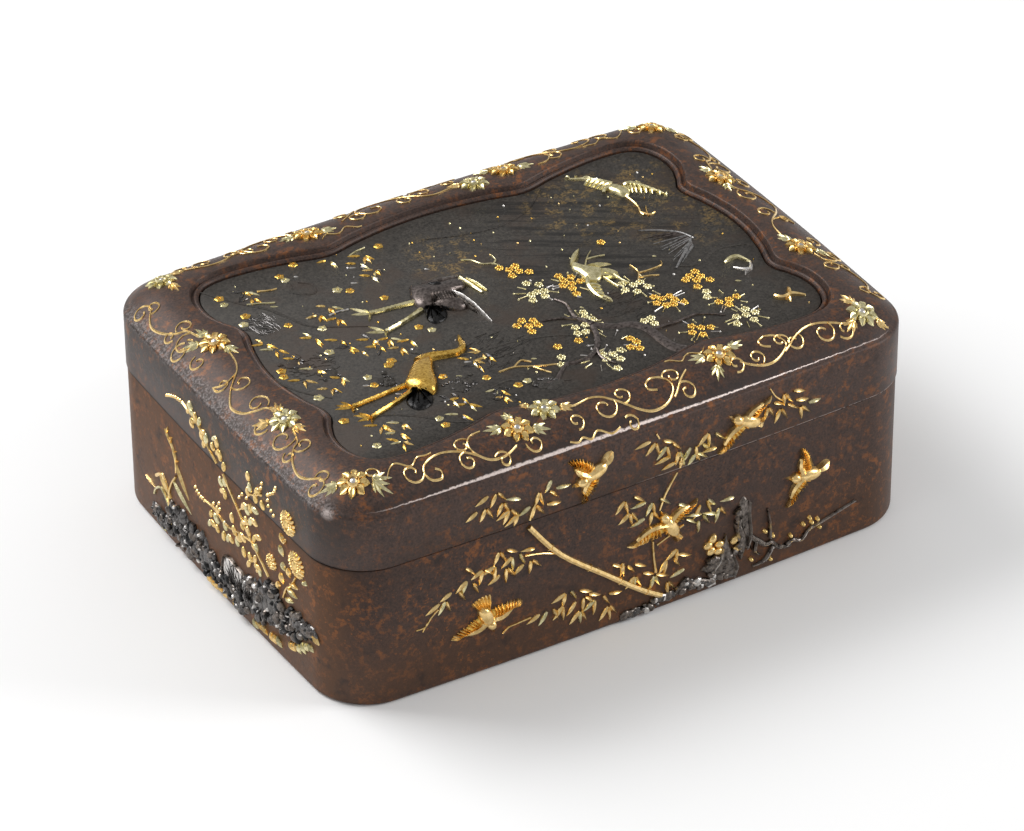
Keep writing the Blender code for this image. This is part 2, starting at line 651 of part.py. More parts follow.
def build_hidden_sides():
    """Plainer inlays for the right end and the back, in keeping with the ones that show."""
    stem = spline([(-22.0, 4.0), (-16.0, 14.0), (-13.0, 28.0)], 2)
    bamboo = [wire(on_right, stem, 1.0, 0.0007)] + spray(on_right, [(-15.6, 16.0), (-9.0, 17.6), (-3.0, 16.4)])
    fuse("bamboo_right", bamboo, gold())
    fuse("sparrow_right", sparrow(on_right, (3.2, 23.0), (7.6, 24.0), [(2.0, 28.4), (5.8, 18.0)], (-1.4, 21.2)), gold())
    bough = spline([(34.0, 5.0), (22.0, 12.0), (8.0, 13.0), (-6.0, 18.0), (-16.0, 17.0)], 2)
    branch = [
        wire(on_back, bough, 1.3, 0.0008),
        wire(on_back, [(8.4, 13.0), (4.6, 17.0), (5.0, 21.0)], 0.8, 0.0005),
        floret(on_back, (-6.0, 18.0), 1.5, 0.0010),
        floret(on_back, (5.0, 20.6), 1.5, 0.0010),
        floret(on_back, (18.0, 12.6), 1.5, 0.0010),
    ]
    fuse("plum_branch_back", branch, silver())
    fuse("sparrow_back", sparrow(on_back, (-6.6, 25.4), (-2.2, 26.4), [(-7.8, 30.6), (-4.6, 21.0)], (-11.2, 24.2)), gold())


clear_scene()
build_base()
build_lid()
build_plate()
build_border()
build_plate_birds()
build_blossoms()
build_front()
build_left()
build_hidden_sides()
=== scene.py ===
"""Looks of the inlaid iron box: fine meshes for the box, metal inlays on it, materials, light and camera.

Sizes are in metres. Places of the inlays are in millimetres on the face that carries them.
"""

import random
from math import cos, hypot, pi, radians, sin

import bmesh
import bpy
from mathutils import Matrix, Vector


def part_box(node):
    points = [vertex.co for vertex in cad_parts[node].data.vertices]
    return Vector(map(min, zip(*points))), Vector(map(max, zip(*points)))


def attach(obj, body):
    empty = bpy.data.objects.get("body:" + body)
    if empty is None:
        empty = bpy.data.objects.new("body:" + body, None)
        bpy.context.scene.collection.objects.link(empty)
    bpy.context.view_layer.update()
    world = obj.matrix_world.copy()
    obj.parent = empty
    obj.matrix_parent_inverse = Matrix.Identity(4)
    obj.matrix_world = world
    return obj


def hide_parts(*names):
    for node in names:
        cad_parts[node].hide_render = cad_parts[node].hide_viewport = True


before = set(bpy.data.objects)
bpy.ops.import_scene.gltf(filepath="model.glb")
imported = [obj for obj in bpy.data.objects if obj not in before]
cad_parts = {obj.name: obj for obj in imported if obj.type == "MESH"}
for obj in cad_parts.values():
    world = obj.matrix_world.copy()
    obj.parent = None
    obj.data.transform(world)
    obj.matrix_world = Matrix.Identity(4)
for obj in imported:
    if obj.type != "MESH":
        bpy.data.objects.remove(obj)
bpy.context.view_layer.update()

# Sizes of the box, read from the frame
MM = 0.001
SIDE_BOW = 1.4 * MM
END_BOW = 1.0 * MM
LENGTH = 2 * (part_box("lid")[1].x - END_BOW)
DEPTH = 2 * (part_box("lid")[1].y - SIDE_BOW)
LIP_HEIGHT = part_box("lid")[1].z
LID_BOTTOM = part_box("lid")[0].z
LID_GAP = 0.3 * MM
SEAM_HEIGHT = LID_BOTTOM - LID_GAP
BASE_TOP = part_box("base")[1].z
PLATE_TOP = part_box("picture_plate")[1].z
PLATE_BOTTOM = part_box("picture_plate")[0].z
CORNER_RADIUS = 11.4 * MM
BASE_INSET = 0.25 * MM
BASE_WALL = 2.85 * MM
BASE_FLOOR = 2.6 * MM
FILLET = 1.5 * MM
LID_WALL = 1.6 * MM
LID_ROOF = PLATE_BOTTOM - LID_GAP - 2.2 * MM
SHOULDER_DROP = 5.0 * MM
SHOULDER = LIP_HEIGHT - SHOULDER_DROP
SHOULDER_START = 0.8 * MM
SHOULDER_INSET = 0.6 * MM
CROWN_WIDTH = 11.0 * MM
CROWN_POWER = 2.4
POCKET_OFFSET = 1.9 * MM
# Height over the shoulder of the bright front line, worn metal with a painted highlight
WORN_HIGHLIGHT_HEIGHT = 0.75 * MM
BASE_EDGE = 0.15 * MM
LID_EDGE = 0.12 * MM
PLATE_EDGE = 0.1 * MM
FOOT_RADIUS = 1.0 * MM

# Points to each stretch of an outline, and rings round the foot and over the crown
FINE = 4
STEPS = (6, 5, 5)
FOOT_STEPS = 5
CROWN_STEPS = 16
OPENING_QUARTER = [
    (0.0, 37.2), (8.5, 36.7), (16.0, 35.5), (22.5, 34.1), (29.0, 35.6), (37.0, 37.0), (44.5, 37.4),
    (49.2, 36.6), (52.3, 34.5), (54.1, 31.4), (54.9, 27.6), (54.6, 23.4), (53.2, 19.6), (51.7, 16.2),
    (53.2, 11.0), (54.4, 5.0), (54.7, 0.0),
]
# Profiles in millimetres, as inset and rise: the lid's edge over its wall, and the moulding round the opening
ARRIS = [(0.08, 0.3), (0.24, 0.55), (0.42, 0.7)]
MOULDING = [
    (0.12, -0.05), (0.28, -0.35), (0.42, -0.85), (0.6, -1.16), (0.8, -1.14), (1.0, -0.86), (1.2, -0.72),
    (1.4, -0.74), (1.6, -0.92), (1.76, -1.2), (1.88, -1.22),
]


# Materials

def new_material(name, colour, roughness, metallic):
    made = bpy.data.materials.new(name)
    made.use_nodes = True
    shader = made.node_tree.nodes["Principled BSDF"]
    shader.inputs["Base Color"].default_value = (*colour, 1)
    shader.inputs["Roughness"].default_value = roughness
    shader.inputs["Metallic"].default_value = metallic
    return made


def node(made, kind, inputs=None, **settings):
    """Adds a node; an input is a value or the socket that feeds it."""
    tree = made.node_tree
    new = tree.nodes.new(kind)
    for key, value in settings.items():
        setattr(new, key, value)
    for key, value in (inputs or {}).items():
        if isinstance(value, bpy.types.NodeSocket):
            tree.links.new(value, new.inputs[key])
        else:
            new.inputs[key].default_value = value
    return new


def place(made):
    return node(made, "ShaderNodeTexCoord").outputs["Object"]


def grain(made, size, detail=4, roughness=0.55, where=None):
    """Noise with features of about size metres."""
    inputs = {"Vector": where or place(made), "Scale": 1 / size, "Detail": detail, "Roughness": roughness}
    return node(made, "ShaderNodeTexNoise", inputs).outputs["Fac"]


def ramp(made, factor, stops):
    new = node(made, "ShaderNodeValToRGB", {"Fac": factor})
    table = new.color_ramp.elements
    while len(table) < len(stops):
        table.new(0.5)
    for element, (position, colour) in zip(table, stops):
        element.position = position
        element.color = (*colour, 1)
    return new.outputs["Color"]


def between(made, value, low, high):
    """Runs from 0 at low to 1 at high."""
    inputs = {"Value": value, "From Min": low, "From Max": high}
    return node(made, "ShaderNodeMapRange", inputs, interpolation_type="SMOOTHSTEP").outputs["Result"]


def blend(made, factor, first, second):
    new = node(made, "ShaderNodeMix", data_type="RGBA")
    tree = made.node_tree
    tree.links.new(factor, new.inputs[0])
    for socket, value in ((new.inputs[6], first), (new.inputs[7], second)):
        if isinstance(value, bpy.types.NodeSocket):
            tree.links.new(value, socket)
        else:
            socket.default_value = (*value, 1)
    return new.outputs[2]


def maths(made, operation, *values):
    """Takes the values together in turn, each a number or a socket."""
    whole = values[0]
    for value in values[1:]:
        whole = node(made, "ShaderNodeMath", {0: whole, 1: value}, operation=operation).outputs[0]
    return whole


def times(made, *values):
    return maths(made, "MULTIPLY", *values)


def plus(made, *values):
    return maths(made, "ADD", *values)


def minus(made, first, second):
    return maths(made, "SUBTRACT", first, second)


def largest(made, *values):
    return maths(made, "MAXIMUM", *values)


def dress(made, colour, roughness, height, depth, metallic=None):
    """Feeds the shader's colour, roughness, relief of a depth in metres, and metal."""
    relief = node(made, "ShaderNodeBump", {"Height": height, "Strength": 1.0, "Distance": depth})
    sockets = {"Base Color": colour, "Roughness": roughness, "Normal": relief.outputs["Normal"]}
    if metallic is not None:
        sockets["Metallic"] = metallic
    shader = made.node_tree.nodes["Principled BSDF"]
    for key, socket in sockets.items():
        made.node_tree.links.new(socket, shader.inputs[key])
    return made


def stretch(made, where, turn, scale):
    """Coordinates turned about Z in degrees and then scaled."""
    inputs = {"Vector": where, "Rotation": (0, 0, radians(turn)), "Scale": scale}
    return node(made, "ShaderNodeMapping", inputs, vector_type="TEXTURE").outputs["Vector"]


def near(made, centre, reach, blur):
    """1 within reach metres of a point, 0 past reach plus blur."""
    away = node(made, "ShaderNodeVectorMath", {0: place(made), 1: centre}, operation="DISTANCE")
    return between(made, away.outputs["Value"], reach + blur, reach)


def band(made, value, low, high, blur):
    """1 between low and high, 0 outside them."""
    return times(made, between(made, value, low - blur, low), between(made, value, high + blur, high))


# Colours of the iron, of its wear, and of the highlight, sheen and shade painted on the lid's edge
IRON = (0.070, 0.045, 0.035)
DARK_IRON = (0.022, 0.015, 0.013)
BASE_IRON = (0.088, 0.051, 0.038)
LID_IRON = (0.104, 0.062, 0.048)
LEFT_END_LID = (0.034, 0.026, 0.022)
LEFT_END_BASE = (0.118, 0.050, 0.018)
RUST = (0.240, 0.084, 0.024)
BLACKENED = (0.021, 0.016, 0.015)
SEAM_SHADE = (0.020, 0.009, 0.005)
RIM_SHADE = (0.022, 0.017, 0.016)
# Painted sheen: grey light reflected off the lid's left shoulder
SHOULDER_SHEEN = (0.40, 0.37, 0.37)
# Worn metal with a painted highlight on it, for the bright marks on the lid's front edge and corner
RUBBED_AND_HIGHLIGHT = (0.82, 0.70, 0.65)
# Where the front begins and where it is whole, along Y
FRONT = (-0.0440, -0.0460)
# The lid's left front corner, where a glint is painted as a highlight
CORNER_GLINT = (-0.0650, -0.0412, 0.0441)


def worn_and_lit_edge(made, colour, rough, metallic, fine):
    """Paints the lid's front edge bright as worn metal with a painted highlight, a band of painted shade
    above it, a painted grey sheen on its left shoulder and a painted glint on its left front corner.
    """
    axes = node(made, "ShaderNodeSeparateXYZ", {"Vector": place(made)})
    x, y, z = (axes.outputs[axis] for axis in "XYZ")
    height = minus(made, z, SHOULDER)
    ragged = grain(made, 0.0012, 6, 0.8)
    front = between(made, y, *FRONT)
    # The bright line, worn metal and painted highlight together, thickest left of the middle, with a ragged
    # lower side
    thick = times(made, between(made, x, -0.056, -0.024), between(made, x, 0.046, -0.014))
    thick = plus(made, times(made, thick, 0.00026), 0.00008)
    above = minus(made, height, plus(made, times(made, ragged, 0.0007), WORN_HIGHLIGHT_HEIGHT))
    share = maths(made, "DIVIDE", above, thick)
    line = times(made, between(made, share, -0.2, 0.1), between(made, share, 1.5, 0.7), front)
    line = times(made, line, between(made, x, -0.060, -0.046), between(made, x, 0.066, 0.040))
    line = times(made, line, between(made, ragged, 0.34, 0.48))
    # The lid's lower front edge
    hem = between(made, z, LID_BOTTOM + 0.0003, LID_BOTTOM + 0.00015)
    hem = times(made, hem, between(made, x, -0.006, 0.008), front, between(made, ragged, 0.40, 0.52))
    shade = times(made, between(made, above, 0.0, 0.0004), between(made, above, 0.0024, 0.0008), front)
    # A painted sheen, grey specks on the left shoulder where it would reflect light
    shoulder_sheen = times(made, band(made, height, 0.0006, 0.0018, 0.0012), between(made, x, -0.0612, -0.0636))
    shoulder_sheen = times(made, shoulder_sheen, between(made, y, -0.0450, -0.0400), between(made, fine, 0.46, 0.60))
    # A painted highlight: a glint on the left front corner
    glint = times(made, near(made, CORNER_GLINT, 0.0003, 0.0022), between(made, fine, 0.30, 0.52))
    colour = blend(made, times(made, shade, 0.6), colour, RIM_SHADE)
    colour = blend(made, times(made, shoulder_sheen, 0.28), colour, SHOULDER_SHEEN)
    # The bright marks together, worn metal and painted highlight: front line, corner glint, lower edge
    rubbed_and_highlight = largest(made, line, glint, times(made, hem, 0.5))
    colour = blend(made, rubbed_and_highlight, colour, RUBBED_AND_HIGHLIGHT)
    rough = minus(made, rough, times(made, rubbed_and_highlight, 0.12))
    return colour, rough, largest(made, metallic, rubbed_and_highlight)


def iron(name, has_worn_and_lit_edge):
    """Russet iron: dark brown with patches and specks of orange rust."""
    made = new_material(name, IRON, 0.45, 0.35)
    made.node_tree.nodes["Principled BSDF"].inputs["Specular IOR Level"].default_value = 0.38
    fine = grain(made, 0.0005, 8, 0.7)
    mottle = ramp(made, fine, [(0.34, DARK_IRON), (0.68, LID_IRON if has_worn_and_lit_edge else BASE_IRON)])
    patches = between(made, grain(made, 0.0022, 6, 0.75), 0.50, 0.66)
    share = plus(made, times(made, between(made, grain(made, 0.014, 2), 0.32, 0.66), 0.7), 0.38)
    specks = between(made, grain(made, 0.0009, 5, 0.7), 0.58, 0.70)
    axes = node(made, "ShaderNodeSeparateXYZ", {"Vector": place(made)})
    x, z = axes.outputs["X"], axes.outputs["Z"]
    left_end = between(made, x, -0.058, -0.066)
    if has_worn_and_lit_edge:
        wall = times(made, band(made, z, 0.0375, 0.0435, 0.0045), left_end)
        mottle = blend(made, times(made, wall, 0.8), mottle, LEFT_END_LID)
    else:
        wall = largest(made, left_end, times(made, between(made, z, 0.022, 0.004), 0.5))
        mottle = blend(made, times(made, wall, 0.7), mottle, LEFT_END_BASE)
        share = plus(made, share, times(made, wall, 0.25))
    rusty = times(made, largest(made, times(made, patches, 0.75), specks), share)
    colour = blend(made, rusty, mottle, RUST)
    dark = between(made, grain(made, 0.0036, 5, 0.7), 0.54, 0.70)
    colour = blend(made, times(made, dark, 0.75), colour, BLACKENED)
    seam = band(made, z, LID_BOTTOM - 0.0004, LID_BOTTOM + 0.0002, 0.0003)
    colour = blend(made, times(made, seam, left_end), colour, SEAM_SHADE)
    rough = plus(made, times(made, fine, 0.3), 0.32)
    metallic = times(made, fine, 0.7)
    if has_worn_and_lit_edge:
        colour, rough, metallic = worn_and_lit_edge(made, colour, rough, metallic, fine)
    return dress(made, colour, rough, fine, 0.00004, metallic)


# Colours of the plate, the middle of its sky and of its chased ground, and its clouds of gold dust as
# middle, reach and blur
PLATE = (0.040, 0.036, 0.032)
PLATE_DARK = (0.019, 0.017, 0.015)
PLATE_LIGHT = (0.080, 0.071, 0.061)
PLATE_BROWN = (0.058, 0.040, 0.030)
PLATE_BRUSHED = (0.012, 0.011, 0.010)
GOLD_DUST = (0.36, 0.24, 0.09)
SKY = (0.024, 0.014, 0.046)
CHASED_GROUND = (-0.034, -0.008, 0.046)
CLOUDS = [
    ((0.045, 0.010, 0.046), 0.006, 0.010), ((0.031, 0.021, 0.046), 0.007, 0.010),
    ((0.046, 0.027, 0.046), 0.002, 0.007), ((-0.003, 0.020, 0.046), 0.003, 0.008),
]


def plate_iron():
    """Dark plate with chased ground, brush marks in the sky and clouds of gold dust."""
    made = new_material("plate_iron", PLATE, 0.6, 0.4)
    made.node_tree.nodes["Principled BSDF"].inputs["Specular IOR Level"].default_value = 0.3
    fine = grain(made, 0.0005, 7, 0.75)
    colour = ramp(made, fine, [(0.36, PLATE_DARK), (0.68, PLATE_LIGHT)])
    brown = between(made, grain(made, 0.010, 4, 0.6), 0.48, 0.66)
    colour = blend(made, times(made, brown, 0.6), colour, PLATE_BROWN)
    turned = stretch(made, place(made), -31, (12, 1, 1))
    brushed = between(made, grain(made, 0.0014, 4, 0.6, turned), 0.46, 0.62)
    colour = blend(made, times(made, brushed, near(made, SKY, 0.016, 0.012), 0.8), colour, PLATE_BRUSHED)
    clouds = largest(made, *(near(made, middle, reach, blur) for middle, reach, blur in CLOUDS))
    dust = between(made, grain(made, 0.0032, 5, 0.75), 0.49, 0.62)
    dust = times(made, clouds, dust, between(made, fine, 0.42, 0.6))
    colour = blend(made, times(made, dust, 0.75), colour, GOLD_DUST)
    coarse = times(made, grain(made, 0.0026, 6, 0.7), near(made, CHASED_GROUND, 0.024, 0.014))
    relief = plus(made, times(made, coarse, 3.0), fine)
    rough = plus(made, times(made, fine, 0.3), 0.42)
    metallic = plus(made, times(made, dust, 0.5), 0.3)
    return dress(made, colour, rough, relief, 0.00007, metallic)


def inlay_metal(name, dark, light, roughness, hammered=0.000015, size=0.0009):
    """Worn soft metal with darker flecks; hammered is the depth of its relief."""
    made = new_material(name, light, roughness, 1.0)
    fine = grain(made, size, 5, 0.6)
    colour = ramp(made, fine, [(0.3, dark), (0.6, light)])
    rough = plus(made, times(made, fine, 0.18), roughness - 0.08)
    return dress(made, colour, rough, fine, hammered)


# Metals of the inlays: name, dark and light colour, roughness, and the depth and size of the relief
INLAY_METALS = {
    "gold": ("gold_fine", (0.66, 0.43, 0.15), (0.97, 0.71, 0.33), 0.24),
    "rich": ("rich_gold_fine", (0.42, 0.22, 0.03), (0.90, 0.58, 0.14), 0.25, 0.00004, 0.0005),
    "old": ("old_gold_fine", (0.42, 0.26, 0.07), (0.94, 0.68, 0.28), 0.25, 0.00005, 0.0006),
    "pale": ("pale_gold_fine", (0.46, 0.40, 0.19), (0.84, 0.76, 0.46), 0.26),
    "grey": ("grey_silver_fine", (0.040, 0.032, 0.029), (0.18, 0.150, 0.138), 0.34, 0.00004, 0.0006),
    "mist": ("misty_silver_fine", (0.10, 0.098, 0.096), (0.36, 0.350, 0.345), 0.42, 0.00004, 0.0006),
    "bark": ("bark_silver_fine", (0.022, 0.018, 0.016), (0.23, 0.200, 0.178), 0.28, 0.00008),
    "silver": ("silver_fine", (0.36, 0.34, 0.32), (0.84, 0.81, 0.78), 0.32),
    "rock": ("dark_silver_fine", (0.018, 0.017, 0.017), (0.17, 0.16, 0.155), 0.24, 0.00007),
    "dark": ("dark_metal_fine", (0.008, 0.008, 0.008), (0.040, 0.039, 0.039), 0.34, 0.00008, 0.0005),
}
METALS = {
    "iron": iron("russet_iron_fine", False),
    "lid_iron": iron("russet_iron_lid", True),
    "plate": plate_iron(),
}
METALS.update({metal: inlay_metal(*look) for metal, look in INLAY_METALS.items()})


# Faces of the box

def mirrored(quarter):
    """A closed outline from one quarter that runs from the +Y axis to the +X axis."""
    right_back = quarter[:-1]
    right_front = [(x, -y) for x, y in reversed(quarter[1:])]
    left_front = [(-x, -y) for x, y in right_back]
    left_back = [(-x, y) for x, y in reversed(quarter[1:])]
    return right_back + right_front + left_front + left_back


def bowed(x, y):
    fall_x = 1 - (x / (LENGTH / 2)) ** 2
    fall_y = 1 - (y / (DEPTH / 2)) ** 2
    return x * (1 + 2 * END_BOW / LENGTH * fall_y), y * (1 + 2 * SIDE_BOW / DEPTH * fall_x)


def plan(inset):
    """The box's outline, moved in by inset."""
    side, corner, end = (FINE * steps for steps in STEPS)
    half_x = LENGTH / 2 - inset
    half_y = DEPTH / 2 - inset
    radius = CORNER_RADIUS - min(inset, 0.8 * CORNER_RADIUS)
    quarter = [((half_x - radius) * i / side, half_y) for i in range(side)]
    for i in range(corner + 1):
        turn = pi / 2 * (1 - i / corner)
        quarter.append((half_x - radius + radius * cos(turn), half_y - radius + radius * sin(turn)))
    quarter += [(half_x, (half_y - radius) * (1 - i / end)) for i in range(1, end + 1)]
    return [bowed(x, y) for x, y in mirrored(quarter)]


def spline(points, steps, closed=False):
    """Points of a smooth curve through the given ones, steps to each stretch."""
    count = len(points)
    curve = []
    for i in range(count if closed else count - 1):
        around = []
        for k in (i - 1, i, i + 1, i + 2):
            around.append(points[k % count] if closed else points[min(max(k, 0), count - 1)])
        for j in range(steps):
            t = j / steps
            shares = (-t + 2 * t**2 - t**3, 2 - 5 * t**2 + 3 * t**3, t + 4 * t**2 - 3 * t**3, -(t**2) + t**3)
            curve.append(tuple(sum(s * p[axis] for s, p in zip(shares, around)) / 2 for axis in (0, 1)))
    return curve if closed else curve + [tuple(points[-1])]


def opening(inset):
    """The bracket outline of the opening, moved in by inset."""
    whole = spline(mirrored([(x * MM, y * MM) for x, y in OPENING_QUARTER]), FINE, closed=True)
    outline = []
    for i, (x, y) in enumerate(whole):
        before = whole[i - 1]
        after = whole[(i + 1) % len(whole)]
        size = hypot(after[0] - before[0], after[1] - before[1])
        outline.append((x + (after[1] - before[1]) / size * inset, y - (after[0] - before[0]) / size * inset))
    return outline


def crown(x, y):
    """Height of the lid's top."""
    flat_x = x / (1 + 2 * END_BOW / LENGTH * (1 - (y / (DEPTH / 2)) ** 2))
    flat_y = y / (1 + 2 * SIDE_BOW / DEPTH * (1 - (x / (LENGTH / 2)) ** 2))
    past_x = abs(flat_x) - (LENGTH / 2 - CORNER_RADIUS)
    past_y = abs(flat_y) - (DEPTH / 2 - CORNER_RADIUS)
    inset = CORNER_RADIUS - hypot(max(past_x, 0), max(past_y, 0)) - min(max(past_x, past_y), 0)
    share = min(max((inset - SHOULDER_INSET) / CROWN_WIDTH, 0), 1)
    return LIP_HEIGHT - (SHOULDER_DROP - SHOULDER_START) * (1 - share) ** CROWN_POWER


def side_reach(x):
    return DEPTH / 2 + SIDE_BOW * (1 - (2 * x * MM / LENGTH) ** 2)


def end_reach(y):
    return LENGTH / 2 + END_BOW * (1 - (2 * y * MM / DEPTH) ** 2)


def on_front(x, z, out):
    return Vector((x * MM, -side_reach(x) - out * MM + below_seam(z), z * MM))


def on_back(x, z, out):
    return Vector((x * MM, side_reach(x) + out * MM - below_seam(z), z * MM))


def on_left(y, z, out):
    return Vector((-end_reach(y) - out * MM + below_seam(z), y * MM, z * MM))


def on_right(y, z, out):
    return Vector((end_reach(y) + out * MM - below_seam(z), y * MM, z * MM))


def below_seam(z):
    return BASE_INSET if z * MM < SEAM_HEIGHT + LID_GAP / 2 else 0.0


def on_border(x, y, out):
    return Vector((x * MM, y * MM, crown(x * MM, y * MM) + out * MM))


def on_plate(x, y, out):
    return Vector((x * MM, y * MM, PLATE_TOP + out * MM))


# Meshes

def make_piece(name, points, faces, metal, slot, nodes, sharp):
    """A piece that stands for nodes; edges sharper than sharp degrees stay crisp."""
    mesh = bpy.data.meshes.new(name)
    work = bmesh.new()
    corners = [work.verts.new(point) for point in points]
    for face in faces:
        work.faces.new([corners[i] for i in face])
    bmesh.ops.recalc_face_normals(work, faces=work.faces)
    work.to_mesh(mesh)
    work.free()
    mesh.materials.append(METALS[metal])
    mesh.shade_smooth()
    mesh.set_sharp_from_angle(angle=radians(sharp))
    made = bpy.data.objects.new(name, mesh)
    bpy.context.scene.collection.objects.link(made)
    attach(made, "root")
    if nodes:
        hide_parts(*nodes)


def ring(outline, height):
    return [Vector((x, y, height)) for x, y in outline]


def skin(total, count):
    """Faces that join rings of count points to each other and close the first and the last."""
    faces = [tuple(range(count)), tuple(range(total - count, total))]
    for k in range(0, total - count, count):
        for a in range(count):
            b = (a + 1) % count
            faces.append((k + a, k + b, k + count + b, k + count + a))
    return faces


def shell(name, rings, metal, slot):
    """A closed solid from rings of equal length, capped at the first and the last."""
    points = [point for one in rings for point in one]
    make_piece("fine_" + name, points, skin(len(points), len(rings[0])), metal, slot, [name], BOX_SHARP)


def hollow_corner(wall, level, sense):
    """Rings from a level surface to its walls; sense is 1 where they rise from it, -1 where they fall."""
    rings = [ring(plan(wall + FILLET), level)]
    for turn in (0.4, 0.8, 1.2, pi / 2):
        rings.append(ring(plan(wall + FILLET * (1 - sin(turn))), level + sense * FILLET * (1 - cos(turn))))
    return rings


def build_base():
    hollow = BASE_INSET + BASE_WALL
    rim = LID_WALL + LID_GAP
    rings = hollow_corner(hollow, BASE_FLOOR, 1) + [
        ring(plan(hollow), BASE_TOP - BASE_EDGE),
        ring(plan(hollow - BASE_EDGE), BASE_TOP),
        ring(plan(rim + BASE_EDGE), BASE_TOP),
        ring(plan(rim), BASE_TOP - BASE_EDGE),
        ring(plan(rim), SEAM_HEIGHT),
        ring(plan(BASE_INSET + BASE_EDGE), SEAM_HEIGHT),
        ring(plan(BASE_INSET), SEAM_HEIGHT - BASE_EDGE),
    ]
    for i in range(FOOT_STEPS + 1):
        turn = -pi / 2 * i / FOOT_STEPS
        inset = BASE_INSET + FOOT_RADIUS * (1 - cos(turn))
        rings.append(ring(plan(inset), FOOT_RADIUS * (1 + sin(turn))))
    shell("base", rings, "iron", "russet_iron")


def build_lid():
    rings = hollow_corner(LID_WALL, LID_ROOF, -1) + [
        ring(plan(LID_WALL), LID_BOTTOM + LID_EDGE),
        ring(plan(LID_WALL - LID_EDGE), LID_BOTTOM),
        ring(plan(LID_EDGE), LID_BOTTOM),
        ring(plan(0), LID_BOTTOM + LID_EDGE),
        ring(plan(0), SHOULDER),
    ]
    rings += [ring(plan(inset * MM), SHOULDER + rise * MM) for inset, rise in ARRIS]
    outer = plan(SHOULDER_INSET)
    inner = opening(0)
    for step in range(CROWN_STEPS + 1):
        share = (step / CROWN_STEPS) ** 1.3
        line = [along(start, end, share) for start, end in zip(outer, inner)]
        rings.append([Vector((x, y, crown(x, y))) for x, y in line])
    rings += [ring(opening(inset * MM), LIP_HEIGHT + rise * MM) for inset, rise in MOULDING]
    rings.append(ring(opening(POCKET_OFFSET), PLATE_BOTTOM - LID_GAP))
    shell("lid", rings, "lid_iron", "russet_iron")


def build_plate():
    inset = POCKET_OFFSET + LID_GAP
    rings = [
        ring(opening(inset), PLATE_BOTTOM),
        ring(opening(inset), PLATE_TOP - PLATE_EDGE),
        ring(opening(inset + PLATE_EDGE), PLATE_TOP),
    ]
    shell("picture_plate", rings, "plate", "dark_plate")


# Shapes of the inlays: each function returns its points, its faces and its metal. Lengths are in millimetres

SLOTS = {
    "gold": "gold", "rich": "gold", "old": "gold", "pale": "pale_gold", "silver": "silver", "rock": "silver",
    "grey": "silver", "bark": "silver", "mist": "silver", "dark": "dark_plate", "plate": "dark_plate",
}
# How far an inlay's foot lies out from the face: below it, so that no gap shows
ROOT = -0.06
# Cross sections of strips, as shares of half the width and of the height
ROUND = [(-1, 0), (-0.75, 0.66), (0, 1), (0.75, 0.66), (1, 0)]
GROOVED = [(-1, 0), (-0.62, 1), (0, 0.55), (0.62, 1), (1, 0)]
RIBBED = [(-1, 0), (-0.5, 0.4), (0, 1), (0.5, 0.4), (1, 0)]
KEELED = [(-1, 0), (-0.86, 0.4), (0, 1), (0.86, 0.4), (1, 0)]
HOLLOW = [(-1, 0), (-0.82, 1), (-0.5, 0.45), (0, 0.3), (0.5, 0.45), (0.82, 1), (1, 0)]
# Widths of blades from root to tip, and how they rise
LEAF = [0.3, 0.8, 1, 0.85, 0.5, 0.06]
BAMBOO = [0.42, 0.92, 1, 0.82, 0.5, 0.06]
PETAL = [0.5, 0.85, 1, 0.92, 0.6, 0.08]
FEATHER = [0.6, 0.9, 1, 1, 0.85, 0.35]
RIB = [0.7, 0.85, 0.95, 1, 0.95, 0.6]
SPOON = [0.5, 0.62, 0.85, 1, 0.9, 0.35]
BLADE_RISE = [0.6, 0.95, 1, 0.9, 0.6, 0.15]
# Angles in degrees past which an edge stays crisp
BOX_SHARP = 50
INLAY_SHARP = 40
# How a mound rises: shares of the way to its centre and of its height
MOUND = [(0.05, 0.34), (0.16, 0.58), (0.33, 0.77), (0.6, 0.93)]


def at(values, share):
    """The value at a share of the way through a list, or the value itself."""
    if not isinstance(values, (list, tuple)):
        return values
    place_on = share * (len(values) - 1)
    index = min(int(place_on), len(values) - 2)
    return values[index] + (values[index + 1] - values[index]) * (place_on - index)


def polar(centre, radius, degrees):
    return centre[0] + radius * cos(radians(degrees)), centre[1] + radius * sin(radians(degrees))


def along(start, end, share):
    return start[0] + (end[0] - start[0]) * share, start[1] + (end[1] - start[1]) * share


def middle_of(points):
    return sum(x for x, y in points) / len(points), sum(y for x, y in points) / len(points)


def distance(start, end):
    return hypot(end[0] - start[0], end[1] - start[1])


def heading_of(start, end):
    run = Vector((end[0] - start[0], end[1] - start[1]))
    return -Vector((1, 0)).angle_signed(run, 0.0) * 180 / pi


def sweep(face, path, width, height, metal="gold", section=ROUND):
    """A raised strip along a path; width and height may be lists that run from its start to its end."""
    points = []
    for i, (x, y) in enumerate(path):
        before = path[max(i - 1, 0)]
        after = path[min(i + 1, len(path) - 1)]
        run = (after[0] - before[0], after[1] - before[1])
        size = hypot(*run) or 1
        share = i / (len(path) - 1)
        half = at(width, share) / 2
        rise = at(height, share)
        for across, up in section:
            offset = half * across
            out = rise * up if up else ROOT
            points.append(face(x - run[1] / size * offset, y + run[0] / size * offset, out))
    return points, skin(len(points), len(section)), metal


